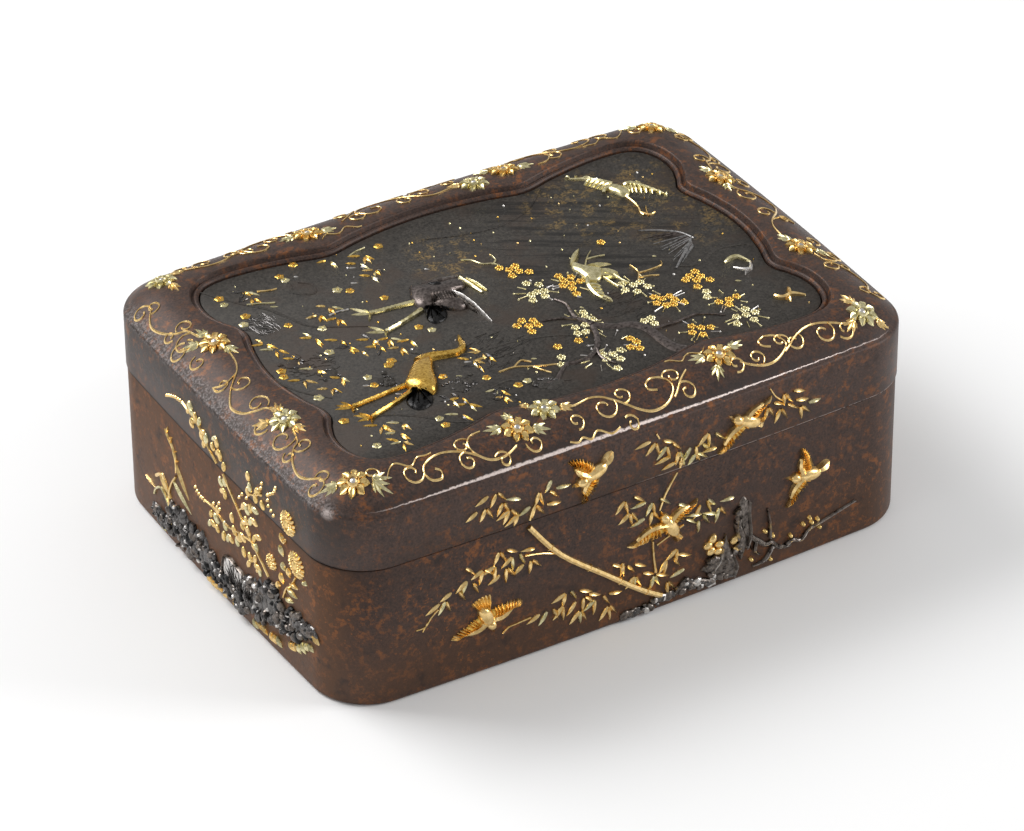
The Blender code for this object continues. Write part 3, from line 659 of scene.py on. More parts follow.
def blade(face, root, tip, width, height, metal="gold", section=GROOVED, shape=LEAF, bend=0.0):
    """A leaf, petal or feather from root to tip; bend moves its middle sideways."""
    run = (tip[0] - root[0], tip[1] - root[1])
    path = []
    for i in range(len(shape)):
        share = i / (len(shape) - 1)
        side = bend * 4 * share * (1 - share) / hypot(*run)
        path.append((root[0] + run[0] * share - run[1] * side, root[1] + run[1] * share + run[0] * side))
    widths = [width * part for part in shape]
    heights = [height * part for part in BLADE_RISE]
    return sweep(face, path, widths, heights, metal, section)


def mound(face, outline, height, metal="gold", centre=None):
    """A rounded relief over an outline."""
    count = len(outline)
    centre = centre or middle_of(outline)
    points = [face(x, y, ROOT) for x, y in outline]
    for share, up in MOUND:
        points += [face(*along(point, centre, share), up * height) for point in outline]
    points.append(face(*centre, height))
    faces = [tuple(range(count))]
    last = len(points) - 1
    for i in range(count):
        j = (i + 1) % count
        for k in range(0, last - count, count):
            faces.append((k + i, k + j, k + count + j, k + count + i))
        faces.append((last - count + i, last - count + j, last))
    return points, faces, metal


def disc(centre, radius, sides=8, squash=1.0, turn=0.0):
    outline = []
    for i in range(sides):
        x = radius * cos(2 * pi * i / sides)
        y = radius * squash * sin(2 * pi * i / sides)
        turned = (x * cos(radians(turn)) - y * sin(radians(turn)),
                  x * sin(radians(turn)) + y * cos(radians(turn)))
        outline.append((centre[0] + turned[0], centre[1] + turned[1]))
    return outline


def bead(face, centre, radius, height, metal="gold", sides=6):
    """A small round grain."""
    outline = disc(centre, radius, sides)
    inner = disc(centre, 0.6 * radius, sides)
    points = [face(x, y, ROOT) for x, y in outline]
    points += [face(x, y, 0.7 * height) for x, y in inner]
    points.append(face(*centre, height))
    faces = [tuple(range(sides))]
    for i in range(sides):
        j = (i + 1) % sides
        faces += [(i, j, sides + j, sides + i), (sides + i, sides + j, 2 * sides)]
    return points, faces, metal


def loop(face, centre, radius, width, height, metal="gold", sides=16):
    path = disc(centre, radius, sides)
    return sweep(face, path + path[:1], width, height, metal)


def smooth(points, steps=4):
    return spline(points, steps)


def rounded(points, steps):
    """A smooth closed outline through the points."""
    return smooth(points + points[:1], steps)[:-1]


CURL_STEPS = 20
CURL_TURN = 390


def curl(start, heading, size, sense):
    """Points of a tendril that leaves start at heading and rolls up, to the left for sense 1."""
    angle = radians(heading)
    turn_each = radians(CURL_TURN) / CURL_STEPS
    path = [start]
    for i in range(CURL_STEPS):
        radius = size * (0.56 - 0.42 * i / CURL_STEPS)
        angle += sense * turn_each / 2
        stride = 2 * radius * sin(turn_each / 2)
        start = (start[0] + stride * cos(angle), start[1] + stride * sin(angle))
        angle += sense * turn_each / 2
        path.append(start)
    return path


def inlay(name, shapes, nodes=()):
    """Makes one piece for each metal of the shapes; the piece of the first metal stands for the nodes."""
    by_metal = {}
    for points, faces, metal in shapes:
        group = by_metal.setdefault(metal, ([], []))
        group[1].extend(tuple(i + len(group[0]) for i in one) for one in faces)
        group[0].extend(points)
    first = next(iter(by_metal))
    for metal, (points, faces) in by_metal.items():
        piece_name, stands_for = (name, nodes) if metal == first else (name + "_" + metal, ())
        make_piece(piece_name, points, faces, metal, SLOTS[metal], stands_for, INLAY_SHARP)


def inlay_node(node_name, shapes):
    """Makes the pieces that stand for a CAD node."""
    inlay("inlay_" + node_name, shapes, [node_name])


# The border of the lid: scrolling vines and flowers

# Each vine: stems as points, curls as start, heading, size and sense, and loose tendrils as points
VINES = {
    "front_left": (
        [[(-29.4, -38.0), (-31.9, -38.4), (-33.4, -40.4), (-32.9, -42.7), (-30.8, -44.5), (-27.7, -44.7),
          (-24.8, -43.7)],
         [(-31.6, -44.1), (-33.8, -42.2), (-36.7, -40.5), (-39.8, -39.9), (-42.9, -40.9), (-44.2, -42.8),
          (-43.4, -44.4), (-41.4, -44.6), (-41.0, -43.3), (-41.8, -42.6)]],
        [((-32.8, -38.9), 130, 3.3, 1), ((-35.0, -41.5), 187, 3.3, 1), ((-29.8, -44.4), 54, 3.0, -1),
         ((-22.9, -44.0), -92, 3.2, 1), ((-54.2, -40.7), -18, 3.2, 1), ((-44.2, -42.8), -120, 4.0, -1)],
        [[(-51.4, -41.4), (-49.5, -39.2), (-47.9, -38.7), (-45.8, -40.5), (-43.7, -39.0), (-41.9, -39.2),
          (-40.7, -39.1)]],
    ),
    "front_middle": (
        [[(-10.2, -39.6), (-8.5, -39.5), (-6.2, -39.1), (-4.0, -39.7), (-2.0, -41.4), (-0.1, -43.2),
          (1.6, -44.7), (4.0, -45.8), (6.9, -45.6), (9.1, -44.5), (10.4, -43.0), (10.2, -41.2), (9.0, -39.8),
          (7.1, -39.5), (5.7, -40.6), (5.7, -41.8), (7.2, -42.4)],
         [(14.9, -40.3), (12.8, -41.9), (10.8, -43.9), (9.6, -44.8)]],
        [((-0.6, -42.8), -10, 3.6, 1), ((9.6, -40.4), 79, 3.5, -1), ((12.2, -42.5), 11, 3.5, -1),
         ((-2.0, -41.4), -77, 4.6, -1), ((-1.9, -45.4), 34, 2.8, -1), ((-11.7, -44.7), -8, 3.1, 1)],
        [[(-14.5, -46.1), (-12.9, -46.6), (-11.6, -46.1), (-10.1, -46.8), (-8.2, -45.8), (-5.8, -47.0),
          (-3.6, -46.5)],
         [(12.6, -36.3), (13.7, -36.5), (15.5, -37.8), (17.0, -36.7), (18.3, -36.3), (20.2, -37.3),
          (21.8, -36.0)]],
    ),
    "front_right": (
        [[(51.8, -42.4), (49.8, -41.7), (47.7, -40.7), (44.9, -39.8), (42.0, -40.0), (39.0, -41.3),
          (37.3, -42.5), (35.6, -43.4)],
         [(25.9, -42.4), (27.4, -43.6), (30.3, -44.6), (33.3, -44.3), (36.3, -42.6), (36.7, -41.3),
          (35.6, -39.3), (33.6, -38.7), (31.9, -39.5), (32.1, -40.8), (33.5, -41.5)]],
        [((36.0, -43.0), 5, 3.6, 1), ((40.3, -40.9), -63, 3.6, -1), ((47.2, -40.7), -58, 4.2, -1),
         ((48.0, -44.0), -51, 3.6, 1), ((30.3, -44.2), 35, 3.0, 1), ((24.1, -44.2), -20, 3.2, 1)],
        [],
    ),
    "left_middle": (
        [[(-56.6, 10.2), (-57.1, 6.8), (-58.4, 4.1), (-60.8, 1.6), (-62.1, 0.0), (-63.5, -2.6), (-63.5, -4.8),
          (-62.6, -7.0), (-60.9, -8.5), (-59.3, -9.4), (-58.3, -11.6)],
         [(-58.8, 3.7), (-61.6, 2.9), (-63.5, 4.5)]],
        [((-61.2, 0.9), -91, 3.7, 1), ((-58.9, -9.1), 32, 4.2, 1), ((-63.4, 4.1), -112, 2.8, 1),
         ((-61.4, 19.5), 128, 3.8, 1)],
        [],
    ),
    "left_front": (
        [[(-58.8, -18.6), (-59.6, -22.0), (-61.3, -23.2), (-62.9, -26.0), (-63.5, -29.2), (-62.8, -31.6),
          (-61.3, -33.7)]],
        [((-61.3, -33.7), -69, 3.5, -1), ((-61.9, -32.6), 33, 2.8, -1), ((-61.2, -23.4), -86, 3.4, 1),
         ((-59.3, -20.9), -139, 4.6, -1), ((-62.6, -22.4), -167, 2.4, 1), ((-61.9, -14.5), -177, 3.2, -1)],
        [],
    ),
}

# Which vine each side shows, and how it is turned: factors for x and y
VINE_PLACES = [
    ("vine_front_left", "front_left", 1, 1), ("vine_front_middle", "front_middle", 1, 1),
    ("vine_front_right", "front_right", 1, 1), ("vine_back_right", "front_left", -1, -1),
    ("vine_back_middle", "front_middle", -1, -1), ("vine_back_left", "front_right", -1, -1),
    ("vine_left_middle", "left_middle", 1, 1), ("vine_left_front", "left_front", 1, 1),
    ("vine_left_rear", "left_front", 1, -1), ("vine_right_middle", "left_middle", -1, -1),
    ("vine_right_rear", "left_front", -1, -1), ("vine_right_front", "left_front", -1, 1),
]

# Flowers: CAD node, centres with their metals, and leaves as start, tip and metal
FLOWERS = [
    ("flower_front_left", [(-57.4, -39.2, "gold")],
     [(-59.6, -38.0, -63.0, -36.4, "pale"), (-54.6, -40.6, -51.8, -44.2, "pale"),
      (-54.4, -40.2, -50.4, -41.4, "pale")]),
    ("flower_front_inner_left", [(-22.6, -40.4, "gold"), (-15.2, -37.9, "pale")],
     [(-20.2, -41.2, -16.8, -42.8, "pale"), (-25.0, -39.4, -28.8, -38.2, "pale"),
      (-22.6, -37.8, -22.4, -34.8, "pale"), (-12.6, -38.6, -9.4, -39.8, "gold"),
      (-17.2, -35.8, -18.6, -34.4, "gold")]),
    ("flower_front_inner_right", [(23.1, -39.4, "gold")],
     [(20.6, -39.0, 16.8, -38.2, "pale"), (21.4, -41.4, 19.6, -44.6, "pale"),
      (25.6, -38.6, 29.2, -37.6, "pale")]),
    ("flower_front_right", [(55.2, -40.8, "pale")],
     [(55.0, -38.2, 54.4, -34.4, "gold"), (52.8, -41.8, 49.8, -43.6, "gold"),
      (56.8, -43.0, 59.0, -44.4, "gold")]),
    ("flower_left_front", [(-58.5, -14.9, "pale")],
     [(-58.2, -12.4, -57.4, -9.0, "gold"), (-58.2, -17.4, -57.0, -20.6, "gold"),
      (-60.8, -13.6, -63.2, -10.8, "gold")]),
    ("flower_left_rear", [(-57.4, 15.0, "gold")],
     [(-59.6, 16.4, -62.4, 18.8, "pale"), (-57.6, 17.6, -58.2, 21.2, "pale"),
      (-56.6, 12.6, -55.2, 9.2, "pale")]),
    ("flower_back_left", [(-55.6, 40.2, "pale")],
     [(-55.0, 37.8, -54.6, 34.6, "gold"), (-53.0, 41.2, -49.8, 42.6, "gold")]),
    ("flower_back_inner_left", [(-23.1, 39.8, "gold")],
     [(-20.6, 39.2, -17.2, 38.4, "pale"), (-25.6, 40.2, -29.0, 40.4, "pale")]),
    ("flower_back_inner_right", [(22.6, 40.4, "gold"), (14.6, 38.6, "pale")],
     [(20.2, 41.6, 17.2, 43.2, "pale"), (25.2, 39.8, 28.8, 38.8, "pale"), (12.2, 39.4, 9.6, 40.6, "gold")]),
    ("flower_back_right", [(57.2, 39.0, "gold")],
     [(59.4, 37.8, 62.0, 36.0, "pale"), (54.8, 40.2, 51.6, 42.6, "pale")]),
    ("flower_right_front", [(57.8, -15.4, "gold")],
     [(57.2, -12.8, 56.0, -9.6, "pale"), (59.8, -17.0, 62.0, -19.2, "pale")]),
    ("flower_right_rear", [(58.5, 14.9, "gold")],
     [(58.0, 12.4, 57.4, 9.2, "pale"), (58.0, 17.4, 56.8, 20.4, "pale")]),
]


def border_flower(centre, metal):
    """A flower of eight pointed cupped petals round a ringed eye."""
    shapes = []
    petal = "old" if metal == "gold" else metal
    for i in range(8):
        turn = 45 * i + 10
        root = polar(centre, 1.25, turn)
        tip = polar(centre, 3.2, turn)
        shapes.append(blade(on_border, root, tip, 1.6, 0.6, petal, HOLLOW, PETAL))
    shapes.append(loop(on_border, centre, 1.05, 0.5, 0.95, metal))
    shapes.append(mound(on_border, disc(centre, 0.85, 10), 0.75, "silver"))
    return shapes


def border_leaf(root, tip, metal):
    """A leaf of five narrow pointed blades."""
    heading = heading_of(root, tip)
    size = distance(root, tip)
    shapes = []
    for turn, share in ((-52, 0.52), (-27, 0.8), (27, 0.78), (50, 0.5), (0, 1.0)):
        start = polar(root, 0.12 * size, heading)
        end = polar(start, 0.9 * share * size, heading + turn)
        shapes.append(blade(on_border, start, end, 0.85, 0.42 + 0.1 * share, metal, KEELED))
    return shapes


def build_border():
    for node_name, drawn, turn_x, turn_y in VINE_PLACES:
        def face(x, y, out, turn_x=turn_x, turn_y=turn_y):
            return on_border(x * turn_x, y * turn_y, out)
        stems, curls, tendrils = VINES[drawn]
        shapes = [sweep(face, smooth(stem), [0.36, 0.42, 0.36], 0.3) for stem in stems]
        shapes += [sweep(face, curl(*roll), [0.34, 0.36, 0.34, 0.4], 0.28) for roll in curls]
        shapes += [sweep(face, smooth(tendril), [0.24, 0.34, 0.24], 0.26) for tendril in tendrils]
        inlay_node(node_name, shapes)
    for node_name, centres, leaves in FLOWERS:
        shapes = []
        for x, y, metal in centres:
            shapes += border_flower((x, y), metal)
        for start_x, start_y, tip_x, tip_y, metal in leaves:
            shapes += border_leaf((start_x, start_y), (tip_x, tip_y), metal)
        inlay_node(node_name, shapes)


# The picture on the plate: cranes, small birds, blossoming branches and scattered leaves

def tail_tuft(outline, root, height):
    """A rounded tuft of black feathers with strands that fan from its root."""
    rim = rounded(outline, 3)
    shapes = [mound(on_plate, rim, 0.7 * height, "dark")]
    for i, point in enumerate(rim):
        reach = 0.98 - 0.16 * (i % 3)
        middle = polar(along(root, point, 0.5), 0.45, 200 + 40 * (i % 3))
        path = smooth([root, middle, along(root, point, reach)])
        heights = [0.8 * height, 1.15 * height, 0.4 * height]
        metal = "rock" if i % 4 == 1 else "dark"
        shapes.append(sweep(on_plate, path, [0.25, 0.42, 0.12], heights, metal, RIBBED))
    return shapes


def toes(ankle, tips, metal="rich"):
    return [blade(on_plate, ankle, tip, 0.7, 0.5, metal, RIBBED, BAMBOO) for tip in tips]


def leg(path, metal="rich"):
    """A ringed leg."""
    way = smooth(path, 8)
    heights = [0.75 + 0.12 * (i % 2) for i in range(len(way))]
    return sweep(on_plate, way, [1.5, 1.1, 0.9, 0.8, 0.95], heights, metal)


def build_standing_crane():
    body = [
        (-23.4, -9.2), (-26.3, -9.2), (-29.2, -11.5), (-31.6, -14.1), (-32.9, -15.6), (-32.4, -18.4),
        (-31.0, -20.2), (-29.2, -21.0), (-27.2, -18.6), (-25.6, -14.4), (-24.3, -11.8),
    ]
    neck = smooth([(-26.6, -10.6), (-23.8, -9.9), (-21.0, -10.7), (-18.6, -11.2), (-16.9, -10.4),
                   (-16.1, -8.6)], 5)
    shapes = [
        mound(on_plate, rounded(body, 3), 2.1, "rich", (-29.4, -17.6)),
        sweep(on_plate, neck, [3.2, 2.5, 2.0, 1.8, 1.7, 1.5, 1.2], [1.5, 1.35, 1.25, 1.2, 1.15, 1.0], "rich"),
        blade(on_plate, (-16.3, -9.0), (-15.1, -5.6), 1.0, 0.85, "rich", ROUND),
        blade(on_plate, (-31.2, -16.0), (-32.9, -16.9), 1.6, 1.1, "rich"),
        leg([(-31.0, -15.6), (-33.7, -15.8), (-39.9, -16.4), (-45.0, -16.8)]),
        leg([(-31.4, -17.2), (-35.0, -19.0), (-40.9, -20.9), (-43.6, -21.8)]),
    ]
    shapes += toes((-44.8, -16.8), [(-48.0, -15.7), (-47.3, -14.6), (-45.9, -13.9), (-45.6, -18.6)])
    shapes += toes((-43.4, -21.7), [(-46.0, -19.3), (-44.9, -18.9), (-46.3, -21.4), (-44.4, -23.6)])
    outline = [(-32.9, -18.0), (-30.3, -18.9), (-30.0, -21.5), (-31.7, -23.9), (-34.2, -24.4), (-35.4, -23.1),
               (-35.3, -20.6)]
    shapes += tail_tuft(outline, (-31.4, -18.6), 1.25)
    inlay_node("crane_standing", shapes)


def build_feeding_crane():
    body = [
        (-14.9, 13.6), (-12.6, 13.0), (-10.2, 12.4), (-8.4, 11.6), (-6.4, 11.4), (-4.7, 11.0), (-4.2, 9.8),
        (-5.4, 8.0), (-7.8, 7.4), (-9.5, 6.4), (-11.2, 5.4), (-13.8, 5.6), (-16.4, 5.6), (-17.2, 7.4),
        (-16.6, 10.2),
    ]
    wing = [(-13.0, 9.3), (-9.6, 8.0), (-8.4, 4.2), (-8.6, 1.8), (-10.6, 1.5), (-12.9, 3.3), (-14.3, 5.6)]
    shapes = [
        mound(on_plate, rounded(body, 3), 1.7, "grey", centre=(-12.6, 8.2)),
        mound(on_plate, rounded(wing, 3), 1.75, "grey", centre=(-11.4, 5.2)),
        sweep(on_plate, [(-8.9, 8.2), (-7.9, 5.1), (-7.3, 1.6), (-7.2, -2.1), (-7.2, -5.3)],
              [1.0, 1.0, 0.8, 0.6, 0.25], [0.9, 1.2, 1.0, 0.7, 0.3], "silver"),
        sweep(on_plate, [(-9.6, 6.6), (-8.9, 4.2), (-8.5, 1.6), (-8.1, -0.9)], [1.0, 0.9, 0.7, 0.3],
              [1.2, 1.3, 1.0, 0.4], "bark"),
        sweep(on_plate, smooth([(-5.0, 10.9), (-4.3, 7.8), (-3.6, 4.6)], 4), [1.2, 1.0, 0.6], [1.1, 0.9, 0.5],
              "pale"),
        sweep(on_plate, smooth([(-3.9, 10.2), (-3.0, 7.7), (-2.4, 4.7)], 4), [0.6, 0.9, 0.4], [0.8, 0.8, 0.4],
              "pale"),
        leg([(-16.6, 8.5), (-20.2, 8.9), (-23.6, 9.2), (-26.2, 9.6)], "pale"),
        leg([(-16.8, 5.4), (-20.3, 4.1), (-23.5, 3.1), (-26.8, 2.3)], "pale"),
    ]
    for i in range(16):
        start = (-13.4 + 0.28 * i, 7.6 - 0.1 * i)
        end = (start[0] - 0.5, start[1] - 2.2)
        shapes.append(sweep(on_plate, [start, end], [0.14, 0.24], [2.0, 1.9], "silver" if i % 2 else "bark"))
    rim = smooth([(-14.0, 5.2), (-12.4, 3.0), (-10.4, 1.9), (-8.7, 2.2), (-8.4, 4.4)])
    shapes.append(sweep(on_plate, rim, [0.2, 0.5, 0.3], [0.9, 0.8, 0.9], "rock"))
    shapes.append(mound(on_plate, [(-12.4, 11.9), (-9.6, 11.2), (-8.8, 9.4), (-11.6, 9.8)], 1.75, "dark"))
    nape = smooth([(-12.4, 12.9), (-9.6, 12.3), (-7.0, 11.7), (-4.8, 11.0)])
    shapes.append(sweep(on_plate, nape, [0.2, 0.35, 0.25], [1.0, 1.2, 1.1], "silver"))
    outline = [(-16.1, 5.6), (-14.0, 4.6), (-12.8, 2.6), (-14.5, 0.2), (-17.0, -0.1), (-17.6, 1.9)]
    shapes += tail_tuft(outline, (-15.0, 4.8), 1.05)
    shapes += toes((-26.0, 9.6), [(-28.4, 13.4), (-29.3, 11.2), (-27.5, 7.2), (-26.4, 11.8)], "pale")
    shapes += toes((-26.6, 2.4), [(-28.5, 5.8), (-30.0, 4.2), (-27.4, 0.4)], "pale")
    inlay_node("crane_feeding", shapes)


def crane_wing(edge, reach, heading, count):
    """Feathers that trail from a leading edge; reach and heading run from its start to its end."""
    way = smooth(edge, 6)
    shapes = []
    for i in range(count):
        share = (i + 0.5) / count
        start = way[round(share * (len(way) - 1))]
        tip = polar(start, at(reach, share), at(heading, share))
        shapes.append(blade(on_plate, start, tip, 0.9, 0.72, "pale", shape=FEATHER))
    shapes.append(sweep(on_plate, way, [0.9, 1.17, 0.99, 0.45], [0.9, 0.9, 0.63, 0.27], "pale"))
    return shapes


def build_flying_cranes():
    body = [(16.8, 5.0), (15.7, 2.7), (16.0, 0.4), (16.2, -2.3), (17.2, -3.4), (18.6, -3.4), (20.4, -2.2),
            (21.0, -0.6), (19.6, 1.1), (17.9, 3.1)]
    shapes = [
        mound(on_plate, rounded(body, 3), 1.1, "pale"),
        blade(on_plate, (16.2, 3.6), (20.9, 8.4), 1.7, 0.8, "pale"),
        blade(on_plate, (18.6, 1.8), (23.4, 0.2), 0.9, 0.9, "pale", RIBBED),
        sweep(on_plate, smooth([(19.5, -3.2), (19.8, -5.6), (20.1, -7.6)], 3), 0.5, 0.5, "pale"),
        sweep(on_plate, smooth([(21.6, -3.4), (22.1, -6.2), (22.6, -7.5)], 3), 0.5, 0.5, "pale"),
    ]
    shapes += crane_wing([(16.6, -1.8), (15.4, -4.2), (15.0, -7.6), (15.9, -10.6)], [2.6, 2.4, 1.2],
                         [-20, -40, -62], 8)
    for i in range(6):
        shapes.append(blade(on_plate, (19.6 - 0.1 * i, -0.6 - 0.4 * i),
                            (22.9 - 0.25 * i, -3.0 - 0.8 * (i % 3)), 0.8, 0.8, "pale", shape=FEATHER))
    inlay_node("crane_gliding", shapes)
    body = [(38.2, 25.6), (39.6, 24.9), (40.5, 23.1), (40.6, 20.7), (39.0, 19.9), (37.9, 21.5), (37.3, 24.0)]
    shapes = [
        mound(on_plate, rounded(body, 3), 1.1, "pale"),
        sweep(on_plate, smooth([(38.2, 24.2), (36.9, 24.4), (36.0, 23.4)], 3), [1.3, 1.1, 0.7],
              [1.0, 0.9, 0.6], "pale"),
        sweep(on_plate, smooth([(39.1, 20.2), (39.3, 17.7), (39.1, 15.3), (38.4, 13.2), (38.5, 12.2)], 3),
              0.5, 0.45, "gold"),
        sweep(on_plate, smooth([(38.5, 13.4), (39.7, 11.7), (41.0, 12.0)], 3), 0.4, 0.4, "gold"),
        sweep(on_plate, smooth([(40.5, 14.6), (39.6, 12.8), (39.2, 11.4)], 3), 0.4, 0.4, "gold"),
    ]
    shapes += crane_wing([(39.2, 25.2), (37.4, 27.6), (35.6, 29.8), (32.6, 31.8)], [3.2, 2.4, 1.0],
                         [-175, -165, 160], 9)
    shapes += crane_wing([(40.6, 23.6), (42.4, 23.6), (44.4, 21.0), (46.6, 16.4)], [3.4, 3.0, 1.0],
                         [-110, -105, -100], 9)
    inlay_node("crane_soaring", shapes)


def build_small_birds():
    swoop = smooth([(42.5, -11.1), (44.4, -10.4), (46.0, -10.8), (47.2, -13.5)], 5)
    back = smooth([(47.2, -13.2), (46.0, -15.4), (44.6, -15.2), (43.2, -13.4)], 5)
    shapes = [
        sweep(on_plate, swoop, [0.5, 1.2, 1.1, 0.4], [0.5, 0.8, 0.8, 0.4], "pale"),
        sweep(on_plate, back, [0.4, 1.0, 0.9, 0.4], [0.4, 0.6, 0.6, 0.3], "silver"),
        blade(on_plate, (45.6, -15.0), (43.7, -16.9), 0.9, 0.5, "silver"),
    ]
    inlay_node("small_bird_left", shapes)
    shapes = [
        sweep(on_plate, smooth([(44.3, -26.4), (45.4, -27.8), (47.6, -27.6), (49.8, -29.2)], 5),
              [0.9, 1.2, 1.1, 0.5], [0.7, 0.9, 0.9, 0.4]),
        blade(on_plate, (47.0, -27.8), (48.5, -24.7), 1.3, 0.7),
        blade(on_plate, (46.4, -27.8), (46.0, -29.6), 1.1, 0.6),
    ]
    inlay_node("small_bird_right", shapes)


def floret(face, centre, metal, radius=0.95, turn=0.0):
    """A plum blossom of five round petals."""
    shapes = []
    for i in range(5):
        middle = polar(centre, 0.58 * radius, turn + 72 * i)
        shapes.append(bead(face, middle, 0.47 * radius, 0.4, metal, 7))
    shapes.append(bead(face, centre, 0.26 * radius, 0.6, metal, 5))
    return shapes


def flat_floret(face, centre, metal, radius, turn):
    """A thin blossom with a scalloped rim and a small eye."""
    outline = []
    for i in range(20):
        angle = turn + 18 * i
        outline.append(polar(centre, radius * (0.9 + 0.1 * cos(radians(90 * i))), angle))
    return [mound(face, outline, 0.26, metal), loop(face, centre, 0.26 * radius, 0.16, 0.36, metal, 8)]


# Bunches of blossom on the plate: CAD node, metal, centres of the blossoms
BUNCHES = [
    ("blossoms_middle", "rich",
     [(-2.1, -7.9), (-1.9, -10.2), (-0.2, -10.8), (-2.4, -12.2), (-3.8, -9.0), (-0.2, -9.0)]),
    ("blossoms_upper", "rich", [(6.9, 9.6), (5.2, 9.0), (6.6, 7.6), (4.6, 6.9), (3.9, 10.6), (8.2, 6.4)]),
    ("blossoms_right", "rich",
     [(34.2, -11.4), (36.0, -10.6), (36.1, -12.6), (32.8, -12.2), (33.5, -15.5), (34.6, -13.4),
      (36.9, -14.6)]),
    ("blossoms_front", "pale", [(18.1, -20.4), (19.8, -20.2), (19.3, -22.2)]),
]
# Bunches without a node: metal, centres
LOOSE_BUNCHES = [
    ("pale", [(5.5, 3.0), (7.4, 1.4), (5.7, -0.7), (4.2, -1.0), (3.5, -2.8), (6.3, -2.8), (7.1, -1.1)]),
    ("rich", [(12.3, 2.0), (14.2, 0.4), (12.3, 0.2), (13.1, -1.6), (11.2, -1.4), (12.3, -3.2), (15.0, -1.8),
              (12.0, -5.3)]),
    ("pale", [(9.6, -11.6), (9.1, -13.2), (9.9, -14.6), (5.5, -15.4), (7.6, -15.6), (6.5, -17.7),
              (4.7, -17.5)]),
    ("rich", [(3.6, -19.6), (-0.9, -19.3), (12.5, -24.2), (12.9, -25.9), (11.0, -26.8), (12.3, -28.0)]),
    ("pale", [(-2.2, -22.8), (-3.5, -25.0), (8.8, -26.6), (6.8, -27.1), (7.2, -29.2), (5.1, -26.0),
              (4.7, -28.0), (5.0, -31.7)]),
    ("pale", [(23.1, -8.4), (20.8, -9.1), (22.5, -10.8), (25.2, -10.3), (21.3, -7.0), (24.8, -8.2)]),
    ("pale", [(34.0, -17.9), (33.1, -19.6)]),
    ("rich", [(24.2, -14.2), (25.2, -15.5), (27.0, -15.5), (27.2, -17.1), (23.5, -16.4), (24.7, -17.9),
              (26.1, -18.3), (28.2, -18.9)]),
    ("rich", [(34.1, -22.3), (36.2, -22.6), (38.1, -22.4), (35.3, -24.1)]),
    ("pale", [(34.1, -28.5), (36.1, -28.9), (38.1, -29.0), (37.1, -27.1), (32.9, -30.7), (36.5, -31.1)]),
    ("rich", [(24.9, -26.8), (26.2, -28.1), (27.9, -29.0), (23.8, -28.7), (25.2, -30.4)]),
    ("rich", [(25.9, 8.2)]),
]

# Single blossoms strewn over the plate
STREWN_GOLD = [
    (-12.4, 30.1), (-30.1, 33.0), (-34.5, 30.5), (-48.4, 29.7), (-47.0, 21.5), (-41.5, 14.4), (-50.3, 1.1),
    (-50.9, -0.9), (-20.7, 13.2), (-25.2, 18.9), (-37.5, -12.3), (-48.4, -19.9), (-30.6, -6.8), (-31.8, -7.8),
    (-20.2, 0.6), (-32.7, -31.0), (-18.0, -21.3), (-14.1, -26.6), (-24.9, -16.6),
]
STREWN_PALE = [
    (-34.2, 28.8), (-48.6, 27.3), (-48.7, 19.1), (-27.2, 20.4), (-39.3, 2.0), (-36.4, 10.0), (-48.7, -10.6),
    (-47.2, -30.2), (-37.3, -9.4), (-18.5, -1.5), (-32.7, -28.6), (-11.9, -26.3),
]

# Places of small bunches of leaves on the plate
PLATE_LEAVES = [
    (-23.3, 30.7), (-16.7, 28.5), (-18.9, 26.4), (-17.2, 22.8), (-19.1, 21.3), (-43.1, 29.4), (-42.9, 26.8),
    (-31.5, 16.0), (-34.4, 14.4), (-32.0, 11.6), (-48.3, 10.8), (-47.7, 8.3), (-39.4, 7.8), (-35.4, 4.4),
    (-35.1, 1.5), (-34.0, -0.7), (-45.7, 3.1), (-44.1, -1.8), (-48.2, -3.8), (-41.8, -6.9), (-45.0, -9.1),
    (-30.1, 1.5), (-27.1, 0.3), (-30.0, -1.3), (-26.7, -3.7), (-23.9, -2.3), (-43.1, -24.8), (-39.4, -26.2),
    (-41.5, -28.7), (-42.5, -31.6), (-17.3, -14.7), (-14.3, -13.6), (-14.1, -15.5), (-17.2, -16.8),
    (-27.5, -24.3), (-25.6, -24.8), (-25.6, -27.2), (-28.6, -29.5), (-18.4, -25.9), (-18.6, -28.7),
]

# Boughs as path and widths, and twigs as metal and path
BOUGHS = [
    ([(19.6, -33.1), (18.0, -30.9), (17.5, -27.5), (17.3, -23.7), (16.3, -21.2), (14.5, -19.7), (12.3, -19.1),
      (10.3, -17.5), (8.9, -16.2)], [2.6, 2.2, 1.8, 1.6]),
    ([(8.9, -16.2), (8.3, -14.3), (7.4, -12.9), (7.5, -10.6), (8.2, -7.4), (7.2, -4.8)],
     [1.6, 1.2, 0.8, 0.5]),
    ([(8.5, -16.8), (7.2, -20.7), (4.9, -24.0), (2.1, -25.8), (-0.6, -26.0), (-2.4, -25.4), (-4.7, -27.0),
      (-7.1, -29.0), (-9.4, -29.1)], [1.5, 1.3, 1.2, 0.9, 1.4]),
    ([(7.6, -13.2), (6.1, -12.2), (3.5, -10.9), (0.9, -10.2)], [1.0, 0.6, 0.4]),
    ([(17.3, -23.9), (20.2, -24.0), (23.1, -24.2), (26.1, -23.8), (28.7, -24.1), (32.6, -26.9)],
     [1.0, 0.8, 0.6, 0.4]),
    ([(5.0, -24.0), (4.2, -27.3), (5.6, -30.2)], [0.9, 0.6, 0.4]),
]
